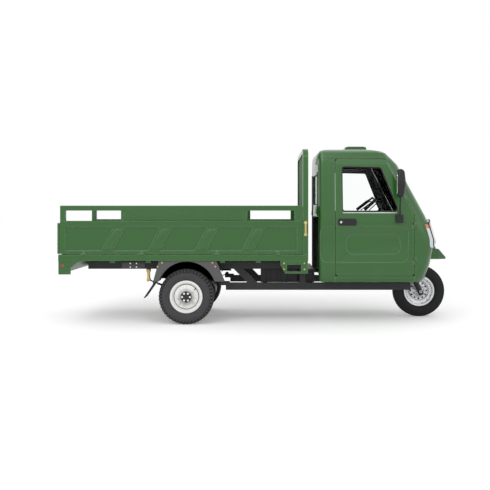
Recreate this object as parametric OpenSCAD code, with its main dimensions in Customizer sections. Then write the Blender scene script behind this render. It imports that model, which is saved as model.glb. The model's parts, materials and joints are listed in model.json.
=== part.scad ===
/* [Stance] */
// Distance between the front and the rear axle
wheelbase = 2517; // [2450:1:2600]
// Rear axle, measured behind the origin
rear_axle_back = 745; // [700:1:800]
// Distance between the middle planes of the rear tyres
track = 1060; // [1040:1:1080]
// Outer diameter of all three tyres
tyre_d = 570; // [550:1:580]
// Width of a rear tyre
rear_tyre_w = 140; // [120:1:144]
// Width of the front tyre
front_tyre_w = 120; // [100:1:130]
// Diameter where the tyre bead sits on the rim
bead_d = 308; // [300:1:316]
// Outer diameter of the rim flange
flange_d = 336; // [328:1:344]

/* [Steering] */
// Lean of the steering axis from the vertical, in degrees
rake = 25; // [22:0.5:27]
// Steering lock to each side, in degrees
steer_lock = 38; // [25:1:40]
// Height of the fork crown above the axle, along the axis
crown_s = 345; // [330:1:360]
// Length of the head tube
head_len = 215; // [180:1:230]
// Height of the handlebar clamp above the axle, along the axis
clamp_s = 1103; // [1060:1:1140]
// Radius of a fork slider
slider_r = 28; // [24:0.5:32]
// Radius of the steering stem
stem_r = 15; // [12:0.5:17]

/* [Chassis] */
// Middle plane of a side rail, inboard of the tyre's middle plane
rail_in = 110; // [104:1:125]
// Width of a side rail
rail_w = 50; // [40:1:56]
// Height of a side rail section
rail_h = 75; // [60:1:80]
// Underside of the upper rails
upper_rail_z = 562; // [550:1:566]
// Underside of the lower rails
lower_rail_z = 341; // [330:1:345]
// Radius of the rear axle tube
axle_r = 38; // [32:1:42]

/* [Load bed] */
// Outer width of the bed
bed_w = 1300; // [1280:2:1320]
// Front face of the headboard, ahead of the origin
bed_front_x = 510; // [480:1:520]
// Outer face of the tailgate, behind the origin
bed_back = 2052; // [2000:1:2100]
// Height of the hinge line of the boards
hinge_z = 728; // [720:1:735]
// Underside of the bed side beams
bed_under_z = 660; // [655:1:670]
// Thickness of a side board
board_t = 35; // [28:1:40]
// Thickness of the tailgate
gate_t = 22; // [18:1:26]
// Top of the side boards
board_top_z = 1225; // [1180:1:1260]
// Top of the tailgate
gate_top_z = 1047; // [1000:1:1100]
// Top of the headboard
headboard_top_z = 1810; // [1700:1:1850]
// Radius of a board hinge knuckle
knuckle_r = 8; // [6:0.5:9]

/* [Cab] */
// Rear face of the cab, behind the front axle
cab_back_to_axle = 1150; // [1120:1:1160]
// Half the width of the cab at its widest
cab_half_w = 605; // [580:1:620]
// Thickness of the cab walls and doors
cab_wall = 32; // [26:1:36]
// Gap round a door
door_gap = 5; // [4:0.5:7]
// Thickness of the glass
glass_t = 5; // [4:0.5:6]
// Height of the seat base above the cab floor
seat_base_h = 295; // [260:1:300]
// Height of the vent hump above the roof crown
vent_h = 45; // [30:1:60]

/* [Hidden] */
$fn = 64;

// Paint and finish colours
green = [0.25, 0.42, 0.23];
frame_black = [0.09, 0.09, 0.10];
fender_grey = [0.22, 0.23, 0.25];
zinc = [0.78, 0.66, 0.36];
rubber = [0.13, 0.13, 0.14];
rim_white = [0.88, 0.88, 0.86];
rim_silver = [0.72, 0.73, 0.75];
glass_tint = [0.75, 0.82, 0.84, 0.45];
lamp_red = [0.62, 0.12, 0.10];
trim_black = [0.12, 0.12, 0.13];

// Clearances: seats between fixed pieces, running fits and hinge knuckles
seat_gap = 0.3;
run_gap = 0.05;
knuckle_gap = 1;
// A cut reaches this far past the face it opens
over = 1;

// Axle places
axle_z = tyre_d / 2;
rear_axle_x = -rear_axle_back;
front_axle_x = rear_axle_x + wheelbase;
cab_x = front_axle_x - cab_back_to_axle;
side_signs = [-1, 1];
rail_y = track / 2 - rail_in;

// Round bar from one point to another
module rod(from, to, r) {
    run = to - from;
    length = norm(run);
    translate(from)
        rotate([0, acos(run[2] / length), atan2(run[1], run[0])])
            cylinder(r = r, h = length);
}

// Outline in the XZ plane, drawn out along Y from y0 to y1
module along_y(y0, y1) {
    translate([0, y1, 0])
        rotate([90, 0, 0])
            linear_extrude(y1 - y0)
                children();
}

// Outline in the YZ plane, drawn out along X from x0 to x1
module along_x(x0, x1) {
    translate([x0, 0, 0])
        rotate([90, 0, 90])
            linear_extrude(x1 - x0)
                children();
}

// Box from its lowest to its highest corner
module block(low, high) {
    translate(low)
        cube(high - low);
}

// Box on both sides of the middle plane, for y0 to y1 on the left
module block_pair(low, high) {
    for (s = side_signs)
        block([low[0], s > 0 ? low[1] : -high[1], low[2]], [high[0], s > 0 ? high[1] : -low[1], high[2]]);
}

// Polygon with rounded corners
module round_poly(points, r) {
    offset(r = r, $fn = 32)
        offset(delta = -r)
            polygon(points);
}

// Mirrors its child to the right side when s is -1
module on_side(s) {
    mirror([0, s > 0 ? 0 : 1, 0])
        children();
}

// Wheels

// Half section of a tyre, as radius and half width, from bead to crown
function tyre_half(d, w) =
    let (b = bead_d / 2, h = d / 2 - b)
    [
        [b, 0.38 * w], [b + 0.13 * h, 0.38 * w], [b + 0.25 * h, 0.465 * w], [b + 0.42 * h, 0.5 * w],
        [b + 0.60 * h, 0.494 * w], [b + 0.76 * h, 0.47 * w], [b + 0.88 * h, 0.435 * w],
        [b + 0.95 * h, 0.39 * w], [b + 0.98 * h, 0.31 * w], [b + h, 0.10 * w],
    ];

function flipped(points) = [for (i = [len(points) - 1 : -1 : 0]) [points[i][0], -points[i][1]]];

// A tyre about the Y axis
module tyre(d, w) {
    rotate([90, 0, 0])
        rotate_extrude($fn = 96)
            polygon(concat(tyre_half(d, w), flipped(tyre_half(d, w))));
}

rim_wall = 8;
flange_t = 5;
function rim_half(w) = 0.38 * w + seat_gap;

// Barrel with its two flanges, as a section of radius and width
module rim_barrel(w) {
    outer = bead_d / 2 - seat_gap;
    half = rim_half(w) + flange_t;
    translate([outer - rim_wall, -half])
        square([rim_wall, 2 * half]);
    for (y = [-half, half - flange_t])
        translate([outer - rim_wall, y])
            square([flange_d / 2 - outer + rim_wall, flange_t]);
}

stub_r = 17.5;
stub_out = 56;
hub_r = 56;
hub_face = 52;
drum_r = 98;
drum_in = 50;
nut_count = 6;
nut_ring_r = 40;
nut_r = 11;
nut_h = 20;
hub_rise = 8;
cap_r = 27;
cap_rise = 24;

// Rear wheel disc, drum and hub about the Y axis, outer face towards +Y
module rear_rim() {
    half = rim_half(rear_tyre_w) + flange_t;
    disc_r = bead_d / 2 - seat_gap - rim_wall;
    color(rim_white)
        difference() {
            union() {
                rotate([-90, 0, 0])
                    rotate_extrude($fn = 96) {
                        rim_barrel(rear_tyre_w);
                        polygon([
                            [disc_r + 2, half - 12], [disc_r + 2, half - 20], [131, 24], [124, 27], [110, 39],
                            [hub_r - 4, 42], [hub_r - 4, hub_face], [112, 49], [126, 38], [131, 36],
                        ]);
                    }
                rotate([-90, 0, 0])
                    translate([0, 0, -drum_in])
                        cylinder(r = drum_r, h = drum_in + hub_rise);
                rotate([-90, 0, 0])
                    cylinder(r = hub_r, h = hub_face + hub_rise);
                rotate([-90, 0, 0])
                    cylinder(r = cap_r, h = hub_face + cap_rise);
                for (k = [0 : nut_count - 1])
                    rotate([-90, 0, 0])
                        rotate([0, 0, 360 * k / nut_count])
                            translate([nut_ring_r, 0, hub_face])
                                cylinder(r = nut_r, h = nut_h, $fn = 6);
            }
            rotate([-90, 0, 0])
                translate([0, 0, -drum_in - over])
                    cylinder(r = stub_r + run_gap, h = drum_in + stub_out + over + 1);
        }
}

front_axle_r = 10;
front_hub_r = 44;
front_hub_half = 54;

// Front wheel about the Y axis
module front_rim() {
    disc_r = bead_d / 2 - seat_gap - rim_wall;
    color(rim_silver)
        translate([front_axle_x, 0, axle_z])
            difference() {
                rotate([-90, 0, 0])
                    rotate_extrude($fn = 96) {
                        rim_barrel(front_tyre_w);
                        translate([0, -front_hub_half])
                            square([front_hub_r, 2 * front_hub_half]);
                        polygon([
                            [front_hub_r - 2, -30], [70, -24], [78, -17], [104, -17], [112, -26], [128, -26],
                            [disc_r + 2, -34], [disc_r + 2, 34], [128, 26], [112, 26], [104, 17], [78, 17],
                            [70, 24], [front_hub_r - 2, 30],
                        ]);
                    }
                rotate([-90, 0, 0])
                    translate([0, 0, -front_hub_half - over])
                        cylinder(r = front_axle_r + run_gap, h = 2 * front_hub_half + 2 * over);
            }
}

module front_tyre() {
    color(rubber)
        translate([front_axle_x, 0, axle_z])
            tyre(tyre_d, front_tyre_w);
}

module rear_tyre(s) {
    color(rubber)
        translate([rear_axle_x, s * track / 2, axle_z])
            tyre(tyre_d, rear_tyre_w);
}

module rear_rim_at(s) {
    translate([rear_axle_x, 0, axle_z])
        on_side(s)
            translate([0, track / 2, 0])
                rear_rim();
}

// Steering

crown_h = 35;
leg_clear = 14;
leg_y = front_tyre_w / 2 + leg_clear + slider_r;
leg_r = slider_r - 6;
head_s = crown_s + crown_h + 5;
head_r = stem_r + 13;
head_top_s = head_s + head_len;
bar_r = 11;
elbow_r = bar_r + 1;
grip_r = 17;
slider_drop = 40;
slider_len = 250;
axle_boss_r = 18;
axle_end = 8;
crown_half = 38;
race_h = 20;
race_step = 2;
riser_step = 3;

// Places its child on the steering axis, with the axle at the origin and the axis along +Z
module on_steering_axis() {
    translate([front_axle_x, 0, axle_z])
        rotate([0, -rake, 0])
            children();
}

// Fork legs, crown, stem and riser
module front_fork() {
    color(trim_black)
        on_steering_axis() {
            for (s = side_signs) {
                translate([0, s * leg_y, -slider_drop])
                    cylinder(r = slider_r, h = slider_len);
                translate([0, s * leg_y, 0])
                    cylinder(r = leg_r, h = crown_s + crown_h);
                rotate([-90 * s, 0, 0])
                    translate([0, 0, front_hub_half + 1])
                        cylinder(r = axle_boss_r, h = leg_y - front_hub_half - 1);
            }
            rotate([90, 0, 0])
                translate([0, 0, -leg_y - slider_r - axle_end])
                    cylinder(r = front_axle_r, h = 2 * (leg_y + slider_r + axle_end));
            translate([-crown_half, -leg_y - slider_r, crown_s])
                cube([2 * crown_half, 2 * (leg_y + slider_r), crown_h]);
            translate([0, 0, crown_s])
                cylinder(r = stem_r, h = head_top_s + race_h - crown_s);
            translate([0, 0, crown_s + crown_h])
                cylinder(r = head_r - race_step, h = head_s - seat_gap - crown_s - crown_h);
            translate([0, 0, head_top_s + seat_gap])
                cylinder(r = head_r - race_step, h = race_h);
            translate([0, 0, head_top_s + race_h])
                cylinder(r = stem_r + riser_step, h = clamp_s - head_top_s - race_h - elbow_r - seat_gap);
        }
}

// Handlebar path on the left, in the part's frame, from the clamp outwards
clamp_x = front_axle_x - clamp_s * sin(rake);
clamp_z = axle_z + clamp_s * cos(rake);
bar_points = [
    [clamp_x, 0, clamp_z], [clamp_x + 4, 110, clamp_z + 6], [clamp_x - 10, 225, clamp_z + 36],
    [clamp_x - 172, 332, clamp_z - 98],
];
lever_out = 46;
lever_drop = 30;
lever_r = 5;
perch_r = 7;
// Share of the last handlebar run that lies before the grip
grip_from = 0.28;

module handlebar() {
    color(trim_black)
        for (s = side_signs)
            on_side(s) {
                for (i = [0 : len(bar_points) - 2]) {
                    rod(bar_points[i], bar_points[i + 1], bar_r);
                    translate(bar_points[i])
                        sphere(r = elbow_r);
                }
                grip_start = grip_from * bar_points[3] + (1 - grip_from) * bar_points[2];
                rod(grip_start, bar_points[3], grip_r);
                lever_shift = [lever_out * cos(rake), 0, lever_out * sin(rake) - lever_drop];
                rod(grip_start, grip_start + lever_shift, perch_r);
                rod(grip_start + lever_shift, bar_points[3] + lever_shift, lever_r);
                translate(grip_start + lever_shift)
                    sphere(r = perch_r + 1);
            }
}

// Chassis

rear_spring_x = -1160;
spring_front_x = -385;
spring_front_z = 430;
spring_rear_z = 447;
shackle_top_z = upper_rail_z - 24;
spring_w = 44;
eye_r = 22;
pin_r = 8;
leaf_t = 8;
leaf_count = 4;
cheek_t = 8;
head_cross_x = front_axle_x - 387;
lower_front_x = front_axle_x - 177;
// Upright between the rails under the headboard, from its rear face to the rail's end, and its width
leg_reach = 70;
leg_w = 60;
hanger_h = 40;
hanger_len = 80;
shackle_lug = 20;
// A cross member stands this far above the rail's underside
cross_lift = 10;
tow_wall = 18;
kick_top_x = -248;
kick_foot_x = -28;
upper_back_x = -1790;
upper_front_x = bed_front_x - 10;
// Cross members: distance ahead of the origin, underside
cross_members = [
    [upper_back_x + 30, upper_rail_z], [-1420, upper_rail_z], [-380, upper_rail_z],
    [upper_front_x - leg_reach, upper_rail_z],
    [40, lower_rail_z], [520, lower_rail_z], [cab_x + 420, lower_rail_z], [head_cross_x, lower_rail_z],
];
cross_w = 50;
// Plates that carry the head tube
strut_y = 19;
strut_t = 10;
// Towing eye behind the rear cross member
tow_r = 14;
tow_half_t = 8;
tow_eye = [upper_back_x - 35, upper_rail_z + rail_h / 2];

module rail_outline() {
    translate([upper_back_x, upper_rail_z])
        square([upper_front_x - upper_back_x, rail_h]);
    translate([spring_front_x + hanger_h, lower_rail_z])
        square([lower_front_x - spring_front_x - hanger_h, rail_h]);
    kick = 0.7 * rail_h;
    kick_top = [kick_top_x, upper_rail_z + rail_h / 2];
    kick_foot = [kick_foot_x, lower_rail_z + rail_h / 2];
    polygon([
        kick_top - [kick, 0], kick_top + [kick, 0], kick_foot + [kick, 0], kick_foot - [kick, 0],
    ]);
    translate([upper_front_x - leg_reach, lower_rail_z + cross_lift])
        square([leg_w, upper_rail_z - lower_rail_z]);
}

module chassis_frame() {
    color(frame_black) {
        difference() {
            union() {
                for (s = side_signs)
                    on_side(s) {
                        along_y(rail_y - rail_w / 2, rail_y + rail_w / 2)
                            rail_outline();
                        for (side = side_signs)
                            along_y(rail_y + side * (spring_w / 2 + 1 + cheek_t / 2) - cheek_t / 2,
                                    rail_y + side * (spring_w / 2 + 1 + cheek_t / 2) + cheek_t / 2) {
                                translate([spring_front_x - eye_r, spring_front_z - hanger_h])
                                    square([eye_r + hanger_len, hanger_h]);
                                translate([spring_front_x, spring_front_z])
                                    circle(r = eye_r);
                            }
                        translate([spring_front_x, rail_y, spring_front_z])
                            rotate([90, 0, 0])
                                cylinder(r = pin_r, h = spring_w + 2 * cheek_t + 4, center = true);
                        block([rear_spring_x - shackle_lug, rail_y - spring_w / 2, shackle_top_z],
                              [rear_spring_x + shackle_lug, rail_y + spring_w / 2,
                               upper_rail_z + cross_lift]);
                        translate([rear_spring_x, rail_y, shackle_top_z])
                            rotate([90, 0, 0])
                                cylinder(r = shackle_lug, h = spring_w, center = true);
                    }
                for (cross = cross_members)
                    block([cross[0], -rail_y, cross[1] + cross_lift],
                          [cross[0] + cross_w, rail_y, cross[1] + rail_h]);
                on_steering_axis()
                    translate([0, 0, head_s])
                        cylinder(r = head_r, h = head_len);
                along_y(-tow_half_t, tow_half_t)
                    difference() {
                        union() {
                            translate(tow_eye)
                                circle(r = tow_r + tow_wall);
                            translate(tow_eye - [0, tow_r + tow_wall])
                                square([upper_back_x + cross_w - tow_eye[0], 2 * (tow_r + tow_wall)]);
                        }
                        translate(tow_eye)
                            circle(r = tow_r);
                    }
                for (s = side_signs)
                    on_side(s)
                        along_y(strut_y, strut_y + strut_t)
                            polygon([
                                [head_cross_x, lower_rail_z + rail_h - 5],
                                [head_cross_x + cross_w, lower_rail_z + rail_h - 5],
                                [front_axle_x - 224, axle_z + 337], [front_axle_x - 170, axle_z + 405],
                                [front_axle_x - 252, axle_z + 405],
                            ]);
            }
            on_steering_axis()
                translate([0, 0, head_s - 60])
                    cylinder(r = stem_r + run_gap, h = head_len + 120);
            for (s = side_signs)
                translate([rear_spring_x, s * rail_y, shackle_top_z])
                    rotate([90, 0, 0])
                        cylinder(r = pin_r + run_gap, h = spring_w + 2, center = true);
        }
    }
}

backing_r = 104;
backing_in = track / 2 - drum_in - 14;
pad_half = 45;
spring_pad_z = axle_z + axle_r + 10;
motor_x = rear_axle_x + 175;
motor_r = 92;
motor_lift = 10;
// Differential housing as radius and place along the axle
diff_half = [[50, -120], [108, -60], [112, 0], [108, 60], [50, 120]];
gear_half_w = 62;
gear_half_h = 70;
gear_grip = 40;
backing_t = 8;
foot_len = 90;
foot_half_w = 16;
foot_half_h = 12;

module rear_axle() {
    color(frame_black)
        difference() {
            union() {
                translate([rear_axle_x, 0, axle_z])
                    rotate([90, 0, 0])
                        cylinder(r = axle_r, h = 2 * backing_in, center = true);
                translate([rear_axle_x, 0, axle_z])
                    rotate([90, 0, 0])
                        rotate_extrude()
                            polygon(concat(diff_half, [[0, 120], [0, -120]]));
                block([rear_axle_x, -gear_half_w, axle_z - gear_half_h],
                      [motor_x - motor_r + gear_grip, gear_half_w, axle_z + gear_half_h]);
                for (s = side_signs)
                    on_side(s) {
                        translate([rear_axle_x, backing_in, axle_z])
                            rotate([-90, 0, 0])
                                cylinder(r = backing_r, h = backing_t);
                        translate([rear_axle_x, backing_in, axle_z])
                            rotate([-90, 0, 0])
                                cylinder(r = stub_r, h = track / 2 + stub_out - backing_in);
                        block([rear_axle_x - pad_half, rail_y - spring_w / 2, axle_z],
                              [rear_axle_x + pad_half, rail_y + spring_w / 2, spring_pad_z]);
                        block([rear_axle_x - foot_len, damper_y - foot_half_w, axle_z - foot_half_h],
                              [rear_axle_x, damper_y + foot_half_w, axle_z + foot_half_h]);
                    }
            }
            translate([motor_x, 0, axle_z + motor_lift])
                rotate([90, 0, 0])
                    cylinder(r = motor_r + seat_gap, h = track / 2, center = true);
        }
}

module drive_motor() {
    color(frame_black)
        translate([motor_x, 0, axle_z + motor_lift])
            rotate([90, 0, 0])
                rotate_extrude()
                    polygon([
                        [0, -130], [60, -130], [60, -118], [motor_r - 8, -118], [motor_r, -108],
                        [motor_r, 108], [motor_r - 8, 118], [60, 118], [60, 130], [0, 130],
                    ]);
}

// Middle of the circle through three points of the XZ plane
function circle_middle(a, b, c) =
    let (
        d = 2 * (a[0] * (b[1] - c[1]) + b[0] * (c[1] - a[1]) + c[0] * (a[1] - b[1])),
        aa = a * a, bb = b * b, cc = c * c
    )
    [
        (aa * (b[1] - c[1]) + bb * (c[1] - a[1]) + cc * (a[1] - b[1])) / d,
        (aa * (c[0] - b[0]) + bb * (a[0] - c[0]) + cc * (b[0] - a[0])) / d,
    ];

spring_mid = [rear_axle_x, spring_pad_z + leaf_count * leaf_t - leaf_t / 2];
spring_front = [spring_front_x, spring_front_z];
spring_rear = [rear_spring_x, spring_rear_z];
spring_centre = circle_middle(spring_front, spring_rear, spring_mid);
spring_radius = norm(spring_mid - spring_centre);
function spring_angle(p) = atan2(p[1] - spring_centre[1], p[0] - spring_centre[0]);

// Each leaf is shorter than the one above it by this share of the spring
leaf_step = 0.24;
leaf_parts = 6;
spring_in = spring_radius - leaf_t / 2;

// Share of the spring's half length that a leaf covers
function leaf_share(k) = k < leaf_count ? 1 - leaf_step * k : 0;

// Point of the spring at a share of its length, from -1 at the shackle to 1 at the front eye
function spring_point(share, radius) =
    let (
        mid = spring_angle(spring_mid),
        end = spring_angle(share > 0 ? spring_front : spring_rear),
        a = mid + (end - mid) * abs(share)
    )
    spring_centre + radius * [cos(a), sin(a)];

// Stepped underside of the leaves on one side of the axle, from the eye to the middle
function leaf_steps(side) = [
    for (k = [0 : leaf_count - 1])
        for (i = [0 : leaf_parts])
            spring_point(side * (leaf_share(k) + (leaf_share(k + 1) - leaf_share(k)) * i / leaf_parts),
                         spring_in + (k + 1) * leaf_t)
];

// The whole stack of leaves on the XZ plane
module spring_outline() {
    front_steps_under = leaf_steps(1);
    rear_steps_under = leaf_steps(-1);
    polygon(concat(
        [for (i = [-3 * leaf_parts : 3 * leaf_parts]) spring_point(i / (3 * leaf_parts), spring_in)],
        front_steps_under,
        [for (i = [len(rear_steps_under) - 2 : -1 : 0]) rear_steps_under[i]]
    ));
}

module leaf_springs() {
    color(frame_black)
        for (s = side_signs)
            translate([0, s * rail_y, 0])
                difference() {
                    union() {
                        along_y(-spring_w / 2, spring_w / 2)
                            spring_outline();
                        for (eye = [spring_front, spring_rear])
                            translate([eye[0], 0, eye[1]])
                                rotate([90, 0, 0])
                                    cylinder(r = eye_r - 4, h = spring_w, center = true);
                    }
                    for (eye = [spring_front, spring_rear])
                        translate([eye[0], 0, eye[1]])
                            rotate([90, 0, 0])
                                cylinder(r = pin_r + run_gap, h = spring_w + 2 * over, center = true);
                }
}

shackle_t = 6;
shackle_r = 19;
shackle_half_w = 12;
pin_end = 6;

module spring_shackles() {
    color(zinc)
        for (s = side_signs)
            translate([0, s * rail_y, 0]) {
                for (side = side_signs)
                    along_y(side * (spring_w / 2 + seat_gap + shackle_t / 2) - shackle_t / 2,
                            side * (spring_w / 2 + seat_gap + shackle_t / 2) + shackle_t / 2) {
                        for (z = [spring_rear_z, shackle_top_z])
                            translate([rear_spring_x, z])
                                circle(r = shackle_r);
                        translate([rear_spring_x - shackle_half_w, spring_rear_z])
                            square([2 * shackle_half_w, shackle_top_z - spring_rear_z]);
                    }
                for (z = [spring_rear_z, shackle_top_z])
                    translate([rear_spring_x, 0, z])
                        rotate([90, 0, 0])
                            cylinder(r = pin_r, h = spring_w + 2 * shackle_t + 2 * pin_end, center = true);
            }
}

damper_y = rail_y - 70;
damper_foot = [rear_axle_x - 70, damper_y, axle_z + foot_half_h + seat_gap];
damper_head = [rear_axle_x - 120, damper_y, upper_rail_z + 20];
damper_rod_r = 21;
damper_can_r = 30;
damper_eye_r = 20;
damper_eye_w = 30;
damper_pin_r = 12;

module rear_dampers() {
    color(lamp_red)
        for (s = side_signs)
            on_side(s) {
                rod(damper_foot + [0, 0, damper_rod_r + 1], (damper_foot + damper_head) / 2, damper_rod_r);
                rod(0.55 * damper_foot + 0.45 * damper_head, damper_head, damper_can_r);
                translate(damper_foot + [0, 0, damper_eye_r])
                    rotate([90, 0, 0])
                        cylinder(r = damper_eye_r, h = damper_eye_w, center = true);
                translate([damper_head[0], damper_y, damper_head[2]])
                    rotate([-90, 0, 0])
                        cylinder(r = damper_pin_r, h = rail_y - rail_w / 2 - damper_y);
            }
}

battery_back_x = 20;
battery_front_x = 590;
battery_clear = 7;
battery_half_w = rail_y - rail_w / 2 - battery_clear;
battery_top_z = upper_rail_z - battery_clear;
battery_flute = [50, 8];
flute_pitch = 110;
flute_end = 60;
flute_edge = 20;

module battery_box() {
    color(trim_black)
        difference() {
            block([battery_back_x, -battery_half_w, lower_rail_z + rail_h],
                  [battery_front_x, battery_half_w, battery_top_z]);
            for (s = side_signs)
                on_side(s)
                    for (x = [battery_back_x + flute_end : flute_pitch : battery_front_x - flute_end])
                        block([x, battery_half_w - battery_flute[1], lower_rail_z + rail_h + flute_edge],
                              [x + battery_flute[0], battery_half_w + over, battery_top_z - flute_edge]);
            block([upper_front_x - leg_reach - 4, -battery_half_w - over, battery_top_z - flute_edge],
                  [upper_front_x - leg_reach + leg_w + 4, battery_half_w + over, battery_top_z + over]);
        }
}

// Load bed

bed_half = bed_w / 2;
// Gaps under and at the ends of the boards
hinge_clear = 4;
board_gap = 5;
floor_top_z = hinge_z - hinge_clear;
floor_t = 12;
// The deck plate lies inside the boards
deck_t = 3;
beam_w = 40;
deck_edge = board_t + board_gap + 2;
board_z = hinge_z + hinge_clear;
gate_x = -bed_back;
board_back_x = gate_x + gate_t + board_gap;
post_w = 50;
post_back_x = bed_front_x - 55;
board_front_x = post_back_x - board_gap;
rear_beam_x = gate_x + 8;
hinge_out = 3;
board_hinge_y = bed_half + hinge_out;
// Middles of the side board hinges along X
board_hinges = [-1785, -1198, -422, 200];
// Middles of the tailgate hinges along Y
gate_hinges = [230 - bed_half, 0, bed_half - 230];
hinge_half = 36;
leaf_half = 17;
hinge_pin_r = 4;
// Middles of the bearers under the floor along X
bearers = [-1900, -1500, -1130, -370, 0, 380];
bearer_w = 50;
bracket_front_x = bed_front_x - 4;
bracket_z = 530;
bracket_len = 281;
bracket_foot = 230;
// Window of the front bracket: place from its foot, length, height
bracket_window = [[-214, 22], [143, 69]];
ear_h = 20;
plate_t = 8;

// Hinge knuckle along X, from x0 to x1, on the left hinge line
module knuckle_x(x0, x1, r) {
    translate([x0, board_hinge_y, hinge_z])
        rotate([0, 90, 0])
            cylinder(r = r, h = x1 - x0);
}

// Hinge knuckle along Y, from y0 to y1, on the tailgate hinge line
module knuckle_y(y0, y1, r) {
    translate([gate_x, y1, hinge_z])
        rotate([90, 0, 0])
            cylinder(r = r, h = y1 - y0);
}

module bed_floor() {
    color(green)
        difference() {
            union() {
                block([rear_beam_x, -bed_half, floor_top_z - floor_t], [bed_front_x, bed_half, floor_top_z]);
                block([board_back_x + board_gap, deck_edge - bed_half, floor_top_z - over],
                      [board_front_x, bed_half - deck_edge, floor_top_z + deck_t]);
                block_pair([rear_beam_x, bed_half - beam_w, bed_under_z],
                           [bed_front_x, bed_half, floor_top_z - floor_t]);
                for (x = [rear_beam_x, bed_front_x - beam_w])
                    block([x, -bed_half + over, bed_under_z],
                          [x + beam_w, bed_half - over, floor_top_z - floor_t]);
                for (x = bearers)
                    block([x - bearer_w / 2, -bed_half + beam_w - over, upper_rail_z + rail_h],
                          [x + bearer_w / 2, bed_half - beam_w + over, floor_top_z - floor_t]);
                for (s = side_signs)
                    on_side(s) {
                        for (x = board_hinges) {
                            knuckle_x(x - hinge_half, x - leaf_half - knuckle_gap, knuckle_r);
                            knuckle_x(x + leaf_half + knuckle_gap, x + hinge_half, knuckle_r);
                            knuckle_x(x - hinge_half, x + hinge_half, hinge_pin_r);
                        }
                        along_y(bed_half - plate_t - 2, bed_half - 2)
                            difference() {
                                polygon([
                                    [bracket_front_x - bracket_len, bed_under_z + plate_t],
                                    [bracket_front_x, bed_under_z + plate_t],
                                    [bracket_front_x, bracket_z], [bracket_front_x - bracket_foot, bracket_z],
                                    [bracket_front_x - bracket_len, bed_under_z - beam_w],
                                ]);
                                translate([bracket_front_x, bracket_z] + bracket_window[0])
                                    square(bracket_window[1]);
                            }
                    }
                for (y = gate_hinges) {
                    knuckle_y(y - hinge_half, y - leaf_half - knuckle_gap, knuckle_r);
                    knuckle_y(y + leaf_half + knuckle_gap, y + hinge_half, knuckle_r);
                    knuckle_y(y - hinge_half, y + hinge_half, hinge_pin_r);
                    for (side = side_signs)
                        translate([0, y, 0])
                            on_side(side)
                                block([gate_x, leaf_half + knuckle_gap, floor_top_z - ear_h],
                                      [rear_beam_x + over, hinge_half, floor_top_z]);
                }
            }
            for (s = side_signs)
                on_side(s)
                    for (x = board_hinges)
                        difference() {
                            knuckle_x(x - leaf_half - knuckle_gap, x + leaf_half + knuckle_gap,
                                      knuckle_r + knuckle_gap);
                            knuckle_x(x - leaf_half - 2 * knuckle_gap, x + leaf_half + 2 * knuckle_gap,
                                      hinge_pin_r);
                        }
        }
}

field_low_z = 765;
field_top_z = 1006;
ledge_top_z = 1070;
rail_under_z = 1174;
rib_count = 4;
rib_pitch = 478;
rib_w = 122;
rib_lean = 126;
first_rib_x = -1545;
field_depth = 12;
opening_rear = [-1970, -1403];
opening_front = [-115, 370];
plate_edge = 40;
plate_depth = 6;
// Edges of the fields on the outside and on the back of a board
field_end = 55;
board_edge = 20;
board_foot = 30;
back_depth = 9;
// Hinge straps on the boards
strap_root = 6;
strap_h = 24;

// Outline of one leaning rib on the XZ plane
module rib_outline(x) {
    polygon([
        [x - rib_w / 2, field_low_z - over], [x + rib_w / 2, field_low_z - over],
        [x + rib_w / 2 + rib_lean, field_top_z + over], [x - rib_w / 2 + rib_lean, field_top_z + over],
    ]);
}

// Side board on the left
module side_board() {
    color(green)
        difference() {
            union() {
                difference() {
                    block([board_back_x, bed_half - board_t, board_z],
                          [board_front_x, bed_half, ledge_top_z]);
                    along_y(bed_half - field_depth, bed_half + over)
                        difference() {
                            translate([board_back_x + field_end, field_low_z])
                                square([board_front_x - board_back_x - 2 * field_end,
                                        field_top_z - field_low_z]);
                            for (k = [0 : rib_count - 1])
                                rib_outline(first_rib_x + k * rib_pitch);
                        }
                    block([board_back_x + board_edge, bed_half - board_t - over, board_z + board_foot],
                          [board_front_x - board_edge, bed_half - board_t + back_depth,
                           ledge_top_z - board_edge]);
                    for (x = board_hinges)
                        knuckle_x(x - hinge_half - knuckle_gap, x + hinge_half + knuckle_gap,
                                  knuckle_r + knuckle_gap);
                }
                for (x = board_hinges) {
                    knuckle_x(x - leaf_half, x + leaf_half, knuckle_r);
                    block([x - leaf_half, bed_half - strap_root, hinge_z + 2],
                          [x + leaf_half, bed_half + hinge_out, board_z + strap_h]);
                }
            }
            for (x = board_hinges)
                knuckle_x(x - hinge_half, x + hinge_half, hinge_pin_r + run_gap);
        }
}

// Rail along the top of the left side board, with its hand gaps and plate
module board_rail() {
    inner_y = bed_half - board_t;
    color(green)
        difference() {
            block([board_back_x, inner_y, ledge_top_z + seat_gap], [board_front_x, bed_half, board_top_z]);
            for (gap = [opening_rear, opening_front])
                block([gap[0], inner_y - over, ledge_top_z], [gap[1], bed_half + over, rail_under_z]);
            block([opening_rear[1] + plate_edge, bed_half - plate_depth, ledge_top_z],
                  [opening_front[0] - plate_edge, bed_half + over, rail_under_z]);
        }
}

gate_fields = 3;
gate_rib = 72;
gate_pitch = bed_w / gate_fields;
gate_field = gate_pitch - gate_rib;
gate_field_depth = 9;

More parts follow.
